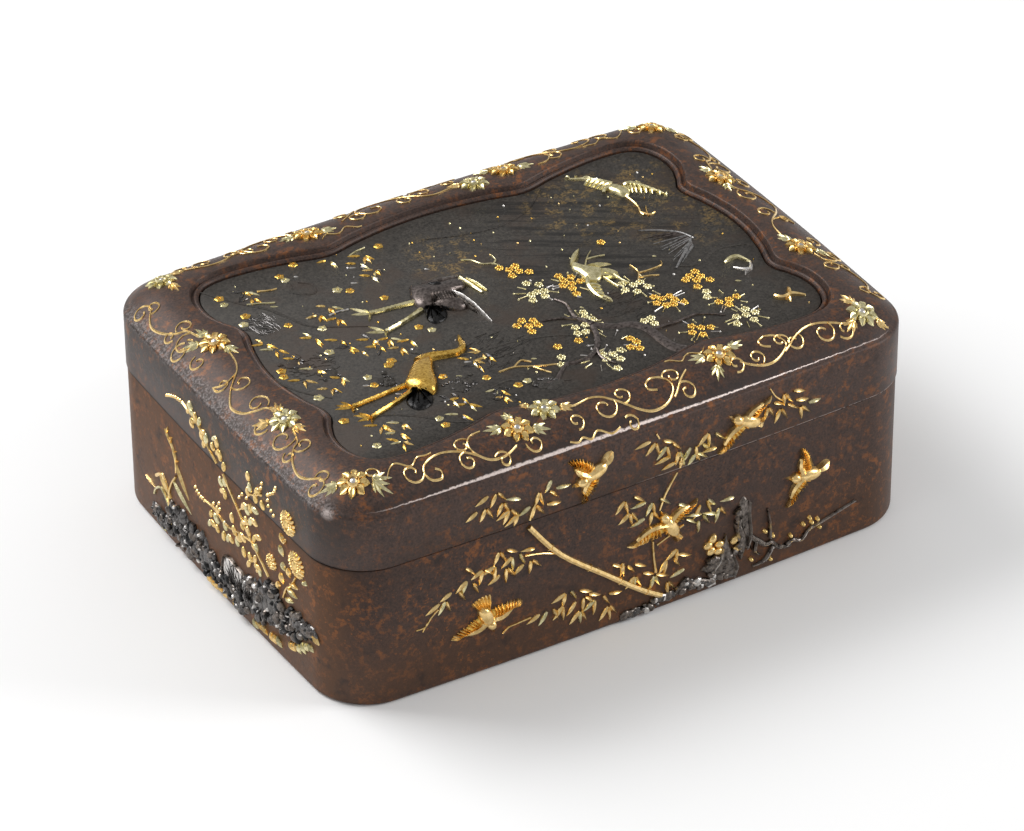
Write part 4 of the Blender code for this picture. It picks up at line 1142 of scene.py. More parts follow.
TWIGS = [
    ("gold", [(-15.1, -21.0), (-11.7, -21.1), (-8.6, -22.7), (-3.8, -24.7)]),
    ("gold", [(-11.7, -21.1), (-9.5, -19.8), (-8.0, -21.3)]),
    ("gold", [(-8.5, -22.9), (-7.6, -24.8), (-6.6, -26.4)]),
    ("gold", [(24.4, -8.2), (26.1, -5.7), (26.5, -4.1), (26.3, -2.0)]),
    ("gold", [(26.2, -5.3), (28.7, -5.5), (31.6, -5.2), (32.3, -4.0)]),
    ("gold", [(25.6, -6.8), (27.6, -7.3), (29.3, -8.1)]),
    ("pale", [(-1.2, 17.0), (0.5, 15.9), (1.7, 13.6), (3.7, 12.5), (4.3, 10.9)]),
    ("pale", [(3.7, 12.5), (4.8, 13.6), (4.8, 15.4)]),
    ("pale", [(15.3, -1.8), (17.9, 1.3), (20.4, 4.6), (22.4, 6.4)]),
    ("pale", [(20.3, 4.3), (22.3, 4.1), (24.0, 3.7)]),
    ("pale", [(-19.3, 29.8), (-17.2, 30.6), (-15.1, 30.8)]),
    ("pale", [(-44.9, 24.9), (-42.4, 23.9), (-39.8, 22.7)]),
    ("gold", [(-40.9, 28.1), (-39.0, 27.2), (-37.1, 26.9)]),
    ("silver", [(-33.1, 13.2), (-31.0, 13.4), (-28.8, 13.1)]),
]


# Headings of the leaves in a bunch; the picture's foot is at -X
LEAF_SETS = [
    (150, -85, -112), (160, -70, -100, 120), (145, -62, -95), (155, -88, -60, -120), (-80, -105, 170),
    (150, 128, -90),
]


def leaf_bunch(knot, dice):
    """Narrow leaves that hang from a knot on the plate."""
    shapes = []
    for heading in dice.choice(LEAF_SETS):
        turn = heading + dice.uniform(-14, 14)
        start = polar(knot, dice.uniform(0.2, 0.9), turn)
        tip = polar(start, 2.5 * dice.uniform(0.75, 1.1), turn)
        metal = dice.choice(["rich", "old", "rich", "pale", "old", "rich", "rock"])
        shapes.append(blade(on_plate, start, tip, 0.72, 0.36, metal, KEELED))
    return shapes


def sprigs(middle, dice):
    """Fine twigs with buds that stick out round a bunch of blossom."""
    shapes = []
    for i in range(9):
        turn = 40 * i + dice.uniform(-15, 15)
        start = polar(middle, dice.uniform(2.0, 2.6), turn)
        end = polar(start, dice.uniform(1.2, 2.4), turn + dice.uniform(-20, 20))
        metal = dice.choice(["silver", "pale", "pale"])
        shapes.append(sweep(on_plate, [start, end], [0.24, 0.14], 0.22, metal))
        if i % 3:
            shapes.append(bead(on_plate, end, 0.24, 0.34, metal, 6))
    return shapes


def strokes(centre, reach, turn, spread, count, length, metal, dice):
    """Short fine lines over a round spot of the plate."""
    shapes = []
    for i in range(count):
        start = polar(centre, reach * dice.random() ** 0.5, dice.uniform(0, 360))
        end = polar(start, length * dice.uniform(0.6, 1.3), turn + dice.uniform(-spread, spread))
        shapes.append(sweep(on_plate, [start, end], [0.12, 0.2], 0.1, metal))
    return shapes


# Lines chased into the plate
CHASED = [
    [(-51.1, 34.6), (-48.0, 29.4), (-45.0, 25.0), (-42.0, 21.2), (-40.0, 16.3), (-38.0, 11.9), (-33.0, 8.6),
     (-28.4, 6.0)],
    [(-49.7, 18.5), (-52.0, 13.7), (-52.0, 10.1), (-53.2, 4.1), (-52.8, -1.3), (-50.6, -7.2), (-46.6, -12.0)],
    [(-36.0, 31.4), (-34.0, 27.6), (-35.0, 24.0), (-31.6, 21.8), (-30.4, 24.6), (-32.4, 26.8)],
    [(-26.0, -6.4), (-22.4, -9.6), (-16.0, -12.6), (-8.0, -13.2), (0.0, -15.4), (6.0, -19.0)],
    [(-46.0, -21.0), (-41.0, -22.2), (-35.4, -26.0), (-30.8, -31.0), (-24.0, -34.4)],
    [(-20.0, -25.0), (-14.6, -24.4), (-10.0, -28.0), (-4.6, -30.4)],
    [(26.0, 31.6), (20.0, 26.4), (12.0, 24.0), (4.0, 25.0), (-4.0, 27.6)],
    [(34.0, -7.2), (38.0, -8.6), (44.0, -6.0), (50.0, -7.4)],
]
PLATE_ROCKS = [(-36.0, -11.6), (-34.4, -12.6), (-23.4, -19.4), (-21.6, -20.6), (-24.4, -21.4), (-10.0, -29.0),
               (-8.0, -29.8), (-47.6, 2.0), (-46.0, 0.6), (-43.0, -4.6), (-9.4, -29.4), (-18.6, -27.0)]

# Spots of fine strokes: centre, reach, heading, its spread, count, length and metal
STROKES = [
    ((-45.4, 16.6), 3.4, 120, 40, 80, 1.4, "rock"), ((-44.0, -1.0), 5.0, 150, 50, 60, 1.4, "plate"),
    ((21.0, -13.0), 6.0, 190, 25, 70, 2.4, "plate"), ((-10.0, -14.0), 6.0, 200, 25, 60, 2.4, "plate"),
]
SLOPE_LINES = 26
DOTS = 120
FLECKS = 16


def build_plate_ground():
    """Low relief and chased lines behind the figures."""
    dice = random.Random(21)
    shapes = [sweep(on_plate, smooth(path), [0.3, 0.9, 0.3], 0.14, "plate") for path in CHASED]
    for x, y in PLATE_ROCKS:
        shapes.append(rough_rock(on_plate, (x, y), dice.uniform(1.2, 2.2), dice.uniform(0.2, 0.4), dice,
                                 "plate"))
        for i in range(7):
            spot = (x + dice.uniform(-2.2, 2.2), y + dice.uniform(-2.2, 2.2))
            radius, height = dice.uniform(0.3, 0.7), dice.uniform(0.25, 0.45)
            metal = dice.choice(["plate", "rock"])
            shapes.append(rough_rock(on_plate, spot, radius, height, dice, metal))
    for spot in STROKES:
        shapes += strokes(*spot, dice)
    inlay("plate_chasing", shapes)

    shapes = [
        sweep(on_plate, smooth([(34.4, 7.8), (38.0, 5.8), (41.0, 3.2), (42.2, 0.4)]), [0.3, 0.6, 0.5], 0.3,
              "mist"),
        sweep(on_plate, smooth([(42.2, 0.4), (39.6, -2.4), (36.6, -5.0), (33.4, -7.8)]), [0.5, 0.9, 0.4], 0.3,
              "mist"),
    ]
    for i in range(SLOPE_LINES):
        share = i / (SLOPE_LINES - 1)
        start = (41.8 - 2.2 * abs(share - 0.5), 3.4 - 6.0 * share)
        turn = 160 + 62 * share + dice.uniform(-8, 8)
        end = polar(start, dice.uniform(2.5, 7.5), turn)
        shapes.append(sweep(on_plate, [start, end], [0.45, 0.15], [0.22, 0.1], dice.choice(["mist", "grey"])))
    inlay("plate_mountain", shapes)
    shapes = []
    for i in range(DOTS):
        spot = (dice.uniform(-50, 50), dice.uniform(-32, 33))
        metal = dice.choice(["rich", "gold", "pale", "silver"])
        shapes.append(bead(on_plate, spot, dice.uniform(0.12, 0.3), 0.28, metal, 6))
    for i in range(FLECKS):
        spot = (dice.uniform(-48, 44), dice.uniform(-30, 33))
        tip = polar(spot, dice.uniform(0.8, 1.6), dice.uniform(-60, -20))
        shapes.append(blade(on_plate, spot, tip, 0.42, 0.25, dice.choice(["pale", "silver", "silver"]),
                            KEELED))
    inlay("plate_dots", shapes)


def build_plate_picture():
    dice = random.Random(7)
    for node_name, metal, centres in BUNCHES:
        shapes = []
        for centre in centres:
            shapes += floret(on_plate, centre, metal, turn=dice.uniform(0, 72))
        inlay_node(node_name, shapes)
    shapes = []
    for metal, centres in LOOSE_BUNCHES:
        for centre in centres:
            shapes += floret(on_plate, centre, metal, turn=dice.uniform(0, 72))
        if len(centres) > 2:
            shapes += sprigs(middle_of(centres), dice)
    inlay("plate_bunches", shapes)
    shapes = []
    for centres, metal in ((STREWN_GOLD, "rich"), (STREWN_PALE, "pale")):
        for centre in centres:
            shapes += flat_floret(on_plate, centre, metal, dice.uniform(0.95, 1.15), dice.uniform(0, 72))
    inlay("plate_strewn_blossoms", shapes)
    shapes = []
    for centre in PLATE_LEAVES:
        shapes += leaf_bunch(centre, dice)
    inlay("plate_leaves", shapes)
    shapes = [sweep(on_plate, smooth(path), widths, [0.6, 0.55, 0.45, 0.3], "grey")
              for path, widths in BOUGHS]
    shapes += [sweep(on_plate, smooth(path), [0.55, 0.4, 0.25], 0.32, metal) for metal, path in TWIGS]
    inlay("plate_boughs", shapes)


# The front: bamboo with sparrows and an old plum tree

# Lowest places that a leaf reaches on the lid and on the base
LID_FOOT = 32.0
BASE_FOOT = 0.7

# Bunches of bamboo leaves: the place of a knot and the headings of the leaves that hang from it
BAMBOO_FANS = {
    "bamboo_lid_left": [
        (-33.3, 41.0, (-151,)), (-31.7, 41.0, (-115, -48)), (-26.4, 37.7, (164,)), (-35.7, 38.2, (-147,)),
        (-34.0, 38.3, (-116, -62)), (-30.3, 38.4, (-62, -115)), (-28.9, 36.2, (-150, -116, -48)),
        (-27.0, 34.6, (-145, -113)), (-24.3, 35.4, (-151,)), (-23.4, 35.4, (-106, -55)),
        (-22.4, 38.0, (-110, -77)), (-21.2, 34.4, (-8,)), (-20.5, 37.4, (-43,)), (-19.2, 37.4, (-3,)),
        (-19.7, 39.9, (-120,)),
    ],
    "bamboo_base": [
        (-23.3, 25.1, (176,)), (-29.9, 27.0, (-26,)), (-26.8, 25.3, (-68,)), (-31.1, 27.2, (-114, -64)),
        (-28.3, 25.1, (-139, -90)), (-24.2, 22.7, (-99, -46)), (-25.7, 22.4, (-141,)),
        (-31.9, 24.2, (-156, -98)), (-29.6, 22.9, (-55, -93)), (-30.9, 21.8, (-149,)),
        (-34.6, 24.2, (-42, -106, -150)), (-38.7, 26.0, (-45,)), (-38.0, 23.0, (-139, -115)),
        (-36.9, 22.2, (-69,)), (-40.0, 21.2, (-61,)), (-41.3, 21.5, (-150,)), (-42.7, 20.0, (-73, -120)),
        (-43.9, 19.8, (-149,)), (-13.9, 11.5, (-21,)), (-15.7, 12.3, (-59,)), (-16.5, 12.1, (-106, -156)),
        (-11.8, 9.9, (-21,)), (-12.6, 9.7, (-42, -97)), (-14.2, 9.4, (-128,)), (-17.2, 9.4, (-90, -129)),
        (-19.5, 9.7, (-70,)), (-10.0, 8.2, (-143, -98)), (-8.5, 8.5, (-57,)), (-7.3, 8.2, (-8,)),
        (-20.6, 9.4, (-126,)), (-22.2, 9.3, (-154,)), (-13.4, 6.8, (-65, -90, -133)),
        (-7.0, 5.5, (-126, -86, -54)), (-6.5, 14.9, (-31,)), (-3.8, 14.6, (-88, -100)), (-1.5, 13.1, (-26,)),
        (-3.1, 13.5, (-48,)), (0.4, 10.2, (-21,)), (6.2, 11.5, (-123, -101)), (7.6, 11.4, (-59,)),
        (8.5, 11.6, (-21,)), (10.4, 7.7, (-163,)), (3.4, 8.8, (-110, -69, -23)), (6.3, 6.2, (-55, -89)),
        (-1.0, 10.3, (-98, -66, -132)), (8.6, 13.2, (-141, -95)),
    ],
    "bamboo_lid_middle": [
        (2.2, 40.7, (-168,)), (3.3, 40.1, (-133, -79)), (4.6, 39.8, (-24,)), (5.8, 38.4, (-132, -79)),
        (6.8, 38.5, (-44,)), (6.7, 35.7, (-167,)), (8.4, 36.2, (-102, -64)), (7.9, 33.9, (-165,)),
        (9.2, 34.2, (-101, -74)), (11.3, 36.2, (-122,)), (12.4, 36.1, (-89,)), (12.4, 34.2, (-68, -130, -36)),
        (17.2, 33.9, (-178,)), (13.5, 36.1, (-45,)), (15.3, 38.0, (-135, -89)), (16.5, 37.4, (-43,)),
    ],
    "bamboo_twig_base": [
        (-3.4, 28.9, (-128, -79)), (-1.7, 29.1, (-37,)), (1.4, 26.8, (-172,)), (-2.2, 25.6, (-143, -84, -58)),
        (2.8, 26.3, (-117, -80)), (4.2, 26.6, (-41,)), (2.8, 24.1, (-102, -58)), (1.2, 23.1, (-162,)),
        (8.4, 23.6, (-32,)), (21.7, 20.4, (-180,)), (15.2, 22.2, (-44, -72)), (13.9, 21.7, (-120,)),
        (18.2, 19.4, (-59, -106)), (17.7, 17.9, (159,)), (14.2, 19.2, (170, -59)), (10.2, 19.4, (-36,)),
        (13.4, 18.2, (-93,)),
    ],
    "bamboo_lid_right": [
        (32.5, 40.8, (-88, -53)), (34.4, 40.5, (-17,)), (35.0, 38.1, (-12,)), (38.1, 36.3, (0,)),
        (36.5, 36.4, (-45, -85)), (33.1, 38.0, (-34,)), (29.8, 39.4, (-23,)), (31.8, 37.6, (-60, -113)),
        (28.8, 39.0, (-63, -105)),
    ],
}
PALE_FANS = ("bamboo_lid_middle", "bamboo_twig_base")

# Stems and twigs: path, widths and height
BAMBOO_STEMS = {
    "bamboo_base": [
        ([(-24.8, 30.6), (-18.0, 21.8), (-8.2, 13.5), (-0.1, 6.8), (4.8, 3.5)], [1.3, 1.3, 1.35], 0.85),
        ([(-18.2, 21.9), (-22.1, 23.4), (-25.7, 24.1)], [0.55, 0.4], 0.4),
        ([(-44.4, 18.4), (-45.9, 17.1), (-47.2, 15.4), (-49.2, 15.2)], [0.45, 0.3], 0.3),
        ([(-46.6, 16.2), (-47.8, 14.4)], [0.35, 0.25], 0.3),
        ([(-24.4, 9.2), (-27.5, 8.9), (-29.3, 8.7), (-30.6, 7.7)], [0.5, 0.3], 0.35),
        ([(2.9, 17.0), (3.1, 13.3), (3.6, 9.4)], [0.5, 0.65], 0.5),
        ([(9.9, 18.2), (6.7, 16.9), (3.8, 15.7)], [0.4, 0.5], 0.4),
    ],
    "bamboo_lid_left": [([(-24.6, 32.2), (-24.0, 34.4), (-22.6, 36.6)], [0.6, 0.4], 0.4)],
    "bamboo_lid_middle": [([(8.7, 32.2), (8.9, 33.6), (9.2, 35.4)], [0.5, 0.4], 0.4),
                          ([(3.3, 42.0), (4.0, 40.6)], 0.4, 0.3)],
    "bamboo_twig_base": [([(8.3, 31.1), (6.9, 29.0), (5.5, 26.6), (4.4, 23.7)], [0.5, 0.6, 0.5], 0.4)],
    "bamboo_lid_right": [([(29.2, 43.0), (30.6, 40.6), (32.4, 39.0)], [0.3, 0.4], 0.25)],
}

# Birds on the wing on the front: CAD node, body, head, wing tips, tail tip
SPARROWS = [
    ("sparrow_lid_left", (-10.2, 38.2), (-13.2, 37.0), [(-14.8, 40.6), (-12.8, 34.0)], (-6.4, 41.4)),
    ("sparrow_lid_right", (24.6, 37.2), (21.7, 38.6), [(27.6, 40.2), (18.8, 33.8)], (28.0, 35.6)),
    ("sparrow_base_right", (39.2, 19.2), (35.8, 19.6), [(37.2, 23.6), (34.8, 15.2)], (44.0, 20.4)),
    ("sparrow_base_middle", (7.0, 18.8), (5.5, 21.4), [(11.0, 22.4), (-0.8, 18.4)], (9.2, 14.8)),
    ("sparrow_base_left", (-34.2, 13.2), (-33.2, 11.0), [(-39.6, 10.6), (-28.4, 13.2)], (-35.2, 17.8)),
]


def hanging(z, heading, length, floor):
    """The length of a leaf that hangs from z at heading, cut so that it stays above floor."""
    drop = -sin(radians(heading))
    return min(length, (z - floor) / drop) if drop > 0.05 else length


def bamboo(face, fans, stems, floor, pale, dice):
    """Leaves that hang from knots, and the stems that carry them."""
    shapes = []
    for path, width, height in stems:
        shapes.append(sweep(face, smooth(path), width, height))
    for x, z, headings in fans:
        for heading in headings:
            length = hanging(z, heading, 3.45 * dice.uniform(0.9, 1.1), floor)
            start = polar((x, z), 0.3, heading)
            tip = polar((x, z), length, heading)
            metal = "pale" if dice.random() < (0.45 if pale else 0.15) else "gold"
            shapes.append(blade(face, start, tip, 0.95, 0.65, metal, KEELED, BAMBOO,
                                dice.uniform(-0.06, 0.06)))
    return shapes


def knots(face, path, places, width, height):
    """Rings round a bamboo stem, at shares of its length."""
    way = smooth(path, 12)
    shapes = []
    for share in places:
        index = round(share * (len(way) - 2))
        turn = heading_of(way[index], way[index + 1]) + 90
        ends = [polar(way[index], width / 2, turn), way[index], polar(way[index], -width / 2, turn)]
        shapes.append(sweep(face, ends, 0.3, [0.5 * height, height, 0.5 * height]))
    return shapes


WING_RIBS = 12


def sparrow_wing(face, shoulder, tip, ahead):
    """A wing with a smooth front half and a row of ribs behind it."""
    span = distance(shoulder, tip)
    middle = polar(along(shoulder, tip, 0.5), 0.14 * span, ahead)
    edge = smooth([shoulder, middle, tip], 8)
    swing = (heading_of(shoulder, tip) - ahead) % 360 - 180
    tips = []
    ribs = []
    for i in range(WING_RIBS):
        share = (i + 0.5) / WING_RIBS
        root = edge[round(share * (len(edge) - 1))]
        reach = at([2.2, 2.9, 3.0, 2.4], share)
        end = polar(root, reach, ahead + 180 + swing * at([0.05, 0.2, 0.55, 0.95], share))
        tips.append(end)
        ribs.append(blade(face, along(root, end, 0.25), end, 0.8 * span / WING_RIBS, 1.15, "gold", ROUND,
                          RIB))
    web = [along(root, end, 0.8) for root, end in zip(edge[1::2], tips[::2])]
    shapes = [mound(face, edge + web[::-1], 0.4, "rich")]
    shapes.append(sweep(face, edge, [1.0, 1.5, 1.3, 0.6], [1.25, 1.2, 1.0, 0.6]))
    return shapes + ribs


def sparrow(face, body, head, wings, tail, fanned=False):
    """A small bird seen from above, with spread wings and a spoon-shaped or fanned tail."""
    ahead = heading_of(body, head)
    shapes = [
        mound(face, disc(body, 2.9, 14, 0.52, ahead), 1.5),
        mound(face, disc(head, 1.3, 12, 0.85, ahead), 1.5),
        blade(face, polar(head, 0.8, ahead), polar(head, 2.3, ahead - 8), 0.75, 0.9, "gold", RIBBED),
        bead(face, polar(head, 0.55, ahead + 50), 0.2, 1.4, "dark", 5),
    ]
    for tip in wings:
        shapes += sparrow_wing(face, polar(body, 1.2, ahead), tip, ahead)
    length = distance(body, tail)
    back = heading_of(body, tail)
    if fanned:
        for i in range(6):
            way = back + 10 * (i - 2.5)
            root, tip = polar(body, 0.25 * length, way), polar(body, length, way)
            shapes.append(blade(face, root, tip, 0.95, 1.05, "gold", RIBBED, RIB))
    else:
        root, tip = polar(body, 0.3 * length, back), polar(body, length, back)
        shapes.append(blade(face, root, tip, 2.2, 1.2, "gold", GROOVED, SPOON))
    return shapes


def build_front_bamboo():
    dice = random.Random(11)
    for node_name, fans in BAMBOO_FANS.items():
        floor = LID_FOOT if "lid" in node_name else BASE_FOOT
        shapes = bamboo(on_front, fans, BAMBOO_STEMS[node_name], floor, node_name in PALE_FANS, dice)
        if node_name == "bamboo_base":
            shapes += knots(on_front, BAMBOO_STEMS[node_name][0][0], (0.2, 0.42, 0.62, 0.82), 1.6, 1.05)
        if node_name == "bamboo_twig_base":
            shapes.sort(key=lambda shape: shape[2] != "pale")
        inlay_node(node_name, shapes)
    for node_name, body, head, wings, tail in SPARROWS:
        inlay_node(node_name, sparrow(on_front, body, head, wings, tail, node_name == "sparrow_base_left"))


# The plum tree: outlines of its trunk and root, branches as path and widths, silver lines painted as
# highlights along its edges, buds, blossoms
PLUM_TRUNK = [
    (23.9, 19.7), (25.0, 18.2), (24.7, 15.3), (25.3, 10.5), (24.4, 7.8), (23.3, 4.5), (22.5, 7.4),
    (22.3, 10.1), (21.5, 13.5), (22.2, 16.2), (23.0, 18.9),
]
PLUM_ROOT = [
    (19.6, 12.7), (18.7, 9.9), (17.6, 7.3), (15.7, 8.6), (15.8, 6.8), (13.8, 5.8), (15.9, 4.3), (18.3, 2.6),
    (21.6, 1.2), (22.6, 4.2), (21.6, 6.9), (20.6, 9.6),
]
PLUM_BRANCHES = [
    ([(24.6, 10.4), (27.4, 7.8), (29.0, 6.3), (30.5, 6.3), (32.3, 4.4), (35.1, 3.9)], [1.3, 1.1, 1.0]),
    ([(34.0, 4.4), (35.4, 5.0), (37.5, 4.2), (39.3, 6.0), (41.4, 6.4), (50.6, 8.5)], [1.0, 0.8, 0.45]),
    ([(26.8, 8.1), (26.6, 5.7), (27.7, 4.4)], [0.9, 0.6]),
    ([(30.8, 5.4), (29.4, 3.1), (27.9, 2.4), (26.1, 2.2)], [0.9, 0.4]),
    ([(30.1, 7.6), (29.9, 11.8), (29.4, 14.7)], [0.7, 0.35]),
]
PLUM_HIGHLIGHTS = [
    [(24.9, 18.4), (24.8, 15.2), (25.2, 10.6), (24.4, 7.4)],
    [(22.2, 16.0), (21.9, 13.4), (22.6, 10.0), (22.8, 7.4)],
    [(21.2, 7.2), (22.1, 4.4), (21.4, 1.8)],
    [(18.8, 9.6), (18.0, 7.0), (16.2, 4.6)],
]
PLUM_BUDS = [
    (28.9, 9.5), (30.7, 7.8), (35.0, 6.1), (38.0, 7.7), (40.0, 7.4), (41.4, 7.6), (41.9, 5.6), (25.7, 4.0),
    (30.3, 2.4), (39.5, 8.6),
]
PLUM_BLOSSOMS = [(16.6, 12.4), (15.5, 11.2), (18.2, 10.6), (16.2, 9.6), (17.9, 9.0), (21.6, 10.2),
                 (22.0, 8.0)]
FRONT_ROCKS = 46


def rough_rock(face, centre, radius, height, dice, metal="rock"):
    """An uneven lump."""
    sides = 9
    outline = []
    for i in range(sides):
        outline.append(polar(centre, radius * dice.uniform(0.65, 1.15), 360 * i / sides))
    peak = polar(centre, 0.3 * radius, dice.uniform(0, 360))
    return mound(face, outline, height, metal, peak)


def build_plum_tree():
    dice = random.Random(5)
    shapes = [
        mound(on_front, rounded(PLUM_TRUNK, 2), 1.15, "bark", (23.8, 12.6)),
        mound(on_front, rounded(PLUM_ROOT, 2), 1.2, "bark", (19.8, 6.0)),
    ]
    for path, widths in PLUM_BRANCHES:
        shapes.append(sweep(on_front, smooth(path), widths, [0.8, 0.7, 0.5], "bark"))
    for i in range(10):
        start = (22.6 + 0.24 * i, 17.8 - 0.8 * i)
        end = (start[0] + 0.3 + 0.1 * i, start[1] - 4.5)
        path = smooth([start, (start[0] - 0.3, start[1] - 2.2), end])
        shapes.append(sweep(on_front, path, [0.3, 0.5, 0.2], [0.9, 1.25, 0.9], "bark"))
    for i in range(14):
        shapes.append(rough_rock(on_front, (dice.uniform(15.5, 22.0), dice.uniform(2.0, 8.0)), 0.9, 1.3, dice,
                                 "bark"))
    for z in (16.6, 14.4, 12.6, 10.4, 8.6):
        shapes.append(rough_rock(on_front, (22.5 + dice.uniform(-0.3, 0.3), z), 1.0, 1.35, dice, "bark"))
    # Silver lines along the edges of the trunk and root: painted highlights
    for path in PLUM_HIGHLIGHTS:
        shapes.append(sweep(on_front, smooth(path), [0.3, 0.5, 0.3], [1.2, 1.45, 1.2], "silver"))
    # Silver crests along the branches: partly their own silver, partly painted highlight
    for path, _ in PLUM_BRANCHES:
        shapes.append(sweep(on_front, smooth(path), [0.35, 0.3, 0.2], [0.98, 0.86, 0.6], "silver"))
    for centre in PLUM_BLOSSOMS:
        shapes.append(mound(on_front, disc(centre, 1.15, 12, 0.72, dice.uniform(0, 60)), 1.0, "gold"))
    for centre in PLUM_BUDS:
        shapes.append(bead(on_front, centre, 0.56, 1.0, "old", 12))
    inlay_node("plum_tree", shapes)
    shapes = []
    for i in range(FRONT_ROCKS):
        x = -3.4 + 22.0 * i / (FRONT_ROCKS - 1)
        z = 1.6 + 0.16 * x + dice.uniform(-0.9, 0.9)
        if x > 10:
            z -= 0.22 * (x - 10)
        radius = dice.uniform(0.5, 1.3)
        metal = dice.choice(["bark", "bark", "silver", "rock"])
        centre = (x, max(z, 1.2 * radius + 0.2))
        shapes.append(rough_rock(on_front, centre, radius, dice.uniform(0.4, 0.9), dice, metal))
    path = smooth([(8.4, 3.0), (10.4, 5.2), (12.0, 3.6), (14.4, 3.4), (17.0, 2.0)])
    shapes.append(sweep(on_front, path, 0.9, 0.7, "bark"))
    inlay_node("rocks_front", shapes)


# The left end: bush clover, chrysanthemums and grass over rocks in water

# Bush clover: groups of leaves as a place and headings, stems, and beads
CLOVER_FANS = {
    "clover_lid": [
        (9.9, 40.6, (-109, -137)), (9.7, 38.9, (-161, -60)), (7.5, 39.3, (-97,)), (9.6, 36.6, (-128, 173)),
        (5.4, 39.2, (-76,)), (5.3, 36.4, (-109, 170)), (3.2, 36.9, (-94,)), (4.0, 35.0, (-85,)),
        (-1.1, 38.4, (-99, -40)), (1.1, 36.1, (-131,)), (-2.3, 36.1, (-97, -50)), (-3.9, 34.4, (-86,)),
        (-13.7, 35.6, (-111, 80)), (-12.9, 34.0, (-108,)), (-16.8, 36.1, (-86, -150)), (-16.0, 34.5, (-99,)),
        (-18.3, 34.2, (-119,)),
    ],
    "clover_base": [
        (-1.1, 29.4, (-127,)), (-3.3, 30.6, (-101,)), (-3.4, 27.3, (-91, -30)), (-11.3, 29.1, (-126, -60)),
        (-13.4, 30.5, (-97,)), (-14.0, 29.9, (-175,)), (-13.8, 27.2, (-160, -70)), (-11.1, 26.1, (-126,)),
        (-9.6, 24.0, (-115, 170)), (-11.6, 24.0, (-126,)), (-14.9, 23.8, (-75, 170)), (-15.2, 22.1, (-104,)),
        (-13.4, 20.9, (-176,)), (-9.8, 18.1, (-108,)), (-11.9, 18.1, (-135,)), (-12.4, 16.4, (-69,)),
        (-14.6, 19.0, (-92,)), (-16.1, 16.9, (-108, -60)), (-14.1, 16.6, (180,)), (-5.5, 23.5, (-104,)),
        (-5.9, 20.8, (-126,)),
    ],
    "clover_low": [
        (-9.4, 21.0, (-137, -70)), (-2.4, 19.7, (-115,)), (-7.2, 18.9, (-115, 175)),
        (-4.3, 17.6, (-73, -140)), (-2.2, 17.1, (-85,)), (1.8, 19.1, (-140,)), (2.5, 19.1, (-68,)),
        (1.0, 16.8, (-127,)), (3.5, 16.4, (-170, -80)), (0.4, 21.6, (-100,)),
    ],
}
CLOVER_STEMS = {
    "clover_lid": [[(12.6, 38.6), (6.6, 37.3), (3.3, 34.8), (-1.0, 32.3)],
                   [(-14.2, 33.0), (-16.4, 34.0), (-18.6, 35.8)]],
    "clover_base": [
        [(-3.0, 31.0), (-4.9, 29.2), (-8.7, 25.9), (-10.9, 23.6), (-14.1, 21.1), (-17.3, 19.0),
         (-19.8, 17.0)],
        [(-8.7, 25.9), (-11.0, 28.0), (-13.6, 30.4)],
    ],
    "clover_low": [[(5.3, 19.9), (1.2, 20.2), (-3.4, 19.2), (-8.0, 20.4), (-13.4, 21.4)]],
}
CLOVER_BEADS = {
    "clover_lid": [
        (19.4, 36.2), (18.5, 36.7), (17.5, 37.2), (16.5, 37.6), (15.5, 38.0), (14.5, 38.2), (13.6, 38.4),
        (12.6, 38.5), (-18.9, 38.2), (-18.5, 36.9), (-24.2, 40.3), (-23.8, 39.4), (-23.2, 38.5),
        (-22.1, 37.7), (-21.1, 36.9), (-21.0, 35.6), (-21.2, 34.4), (-22.2, 33.9), (-23.1, 33.3),
    ],
    "clover_base": [(-9.2, 29.2), (-10.4, 30.6), (-12.2, 30.8)],
    "clover_low": [(9.2, 20.6), (8.5, 20.1), (7.8, 19.8), (7.0, 19.6), (6.2, 19.7), (5.4, 19.6), (1.7, 21.2),
                   (-0.6, 22.6), (-0.8, 21.3)],
}
# Upper and lower outline of the rocks
ROCK_CREST = [(29.3, 5.3), (23.6, 4.8), (19.3, 11.0), (15.4, 12.0), (10.4, 10.2), (6.0, 11.2), (2.1, 8.0),
              (-5.5, 6.6), (-11.5, 12.4), (-17.0, 15.4), (-22.4, 16.4), (-25.4, 13.4), (-33.2, 15.6),
              (-36.4, 14.1)]
ROCK_FOOT = [(28.0, 3.9), (22.6, 2.7), (19.3, 1.8), (9.0, 2.0), (0.3, 3.4), (-9.3, 2.2), (-16.3, 4.1),
             (-24.4, 7.1), (-29.7, 8.8), (-36.4, 12.9)]


def height_at(line, x):
    """Height of a line, given from high to low places, at a place."""
    for (x0, z0), (x1, z1) in zip(line, line[1:]):
        if x1 <= x <= x0:
            return z0 + (z1 - z0) * (x0 - x) / (x0 - x1)
    return line[-1][1]


def daisy(centre, radius, petals):
    """A chrysanthemum of narrow petals in two rows."""
    shapes = []
    for reach, height in ((1.0, 0.7), (0.68, 0.85)):
        for i in range(petals):
            turn = 360 * (i + (0.5 if reach < 1 else 0)) / petals
            root, tip = polar(centre, 0.4 * radius, turn), polar(centre, reach * radius, turn)
            shapes.append(blade(on_left, root, tip, 3.9 * radius / petals, height, "gold", ROUND, RIB))
    shapes.append(mound(on_left, disc(centre, 0.42 * radius, 12), 0.9, "old"))
    return shapes


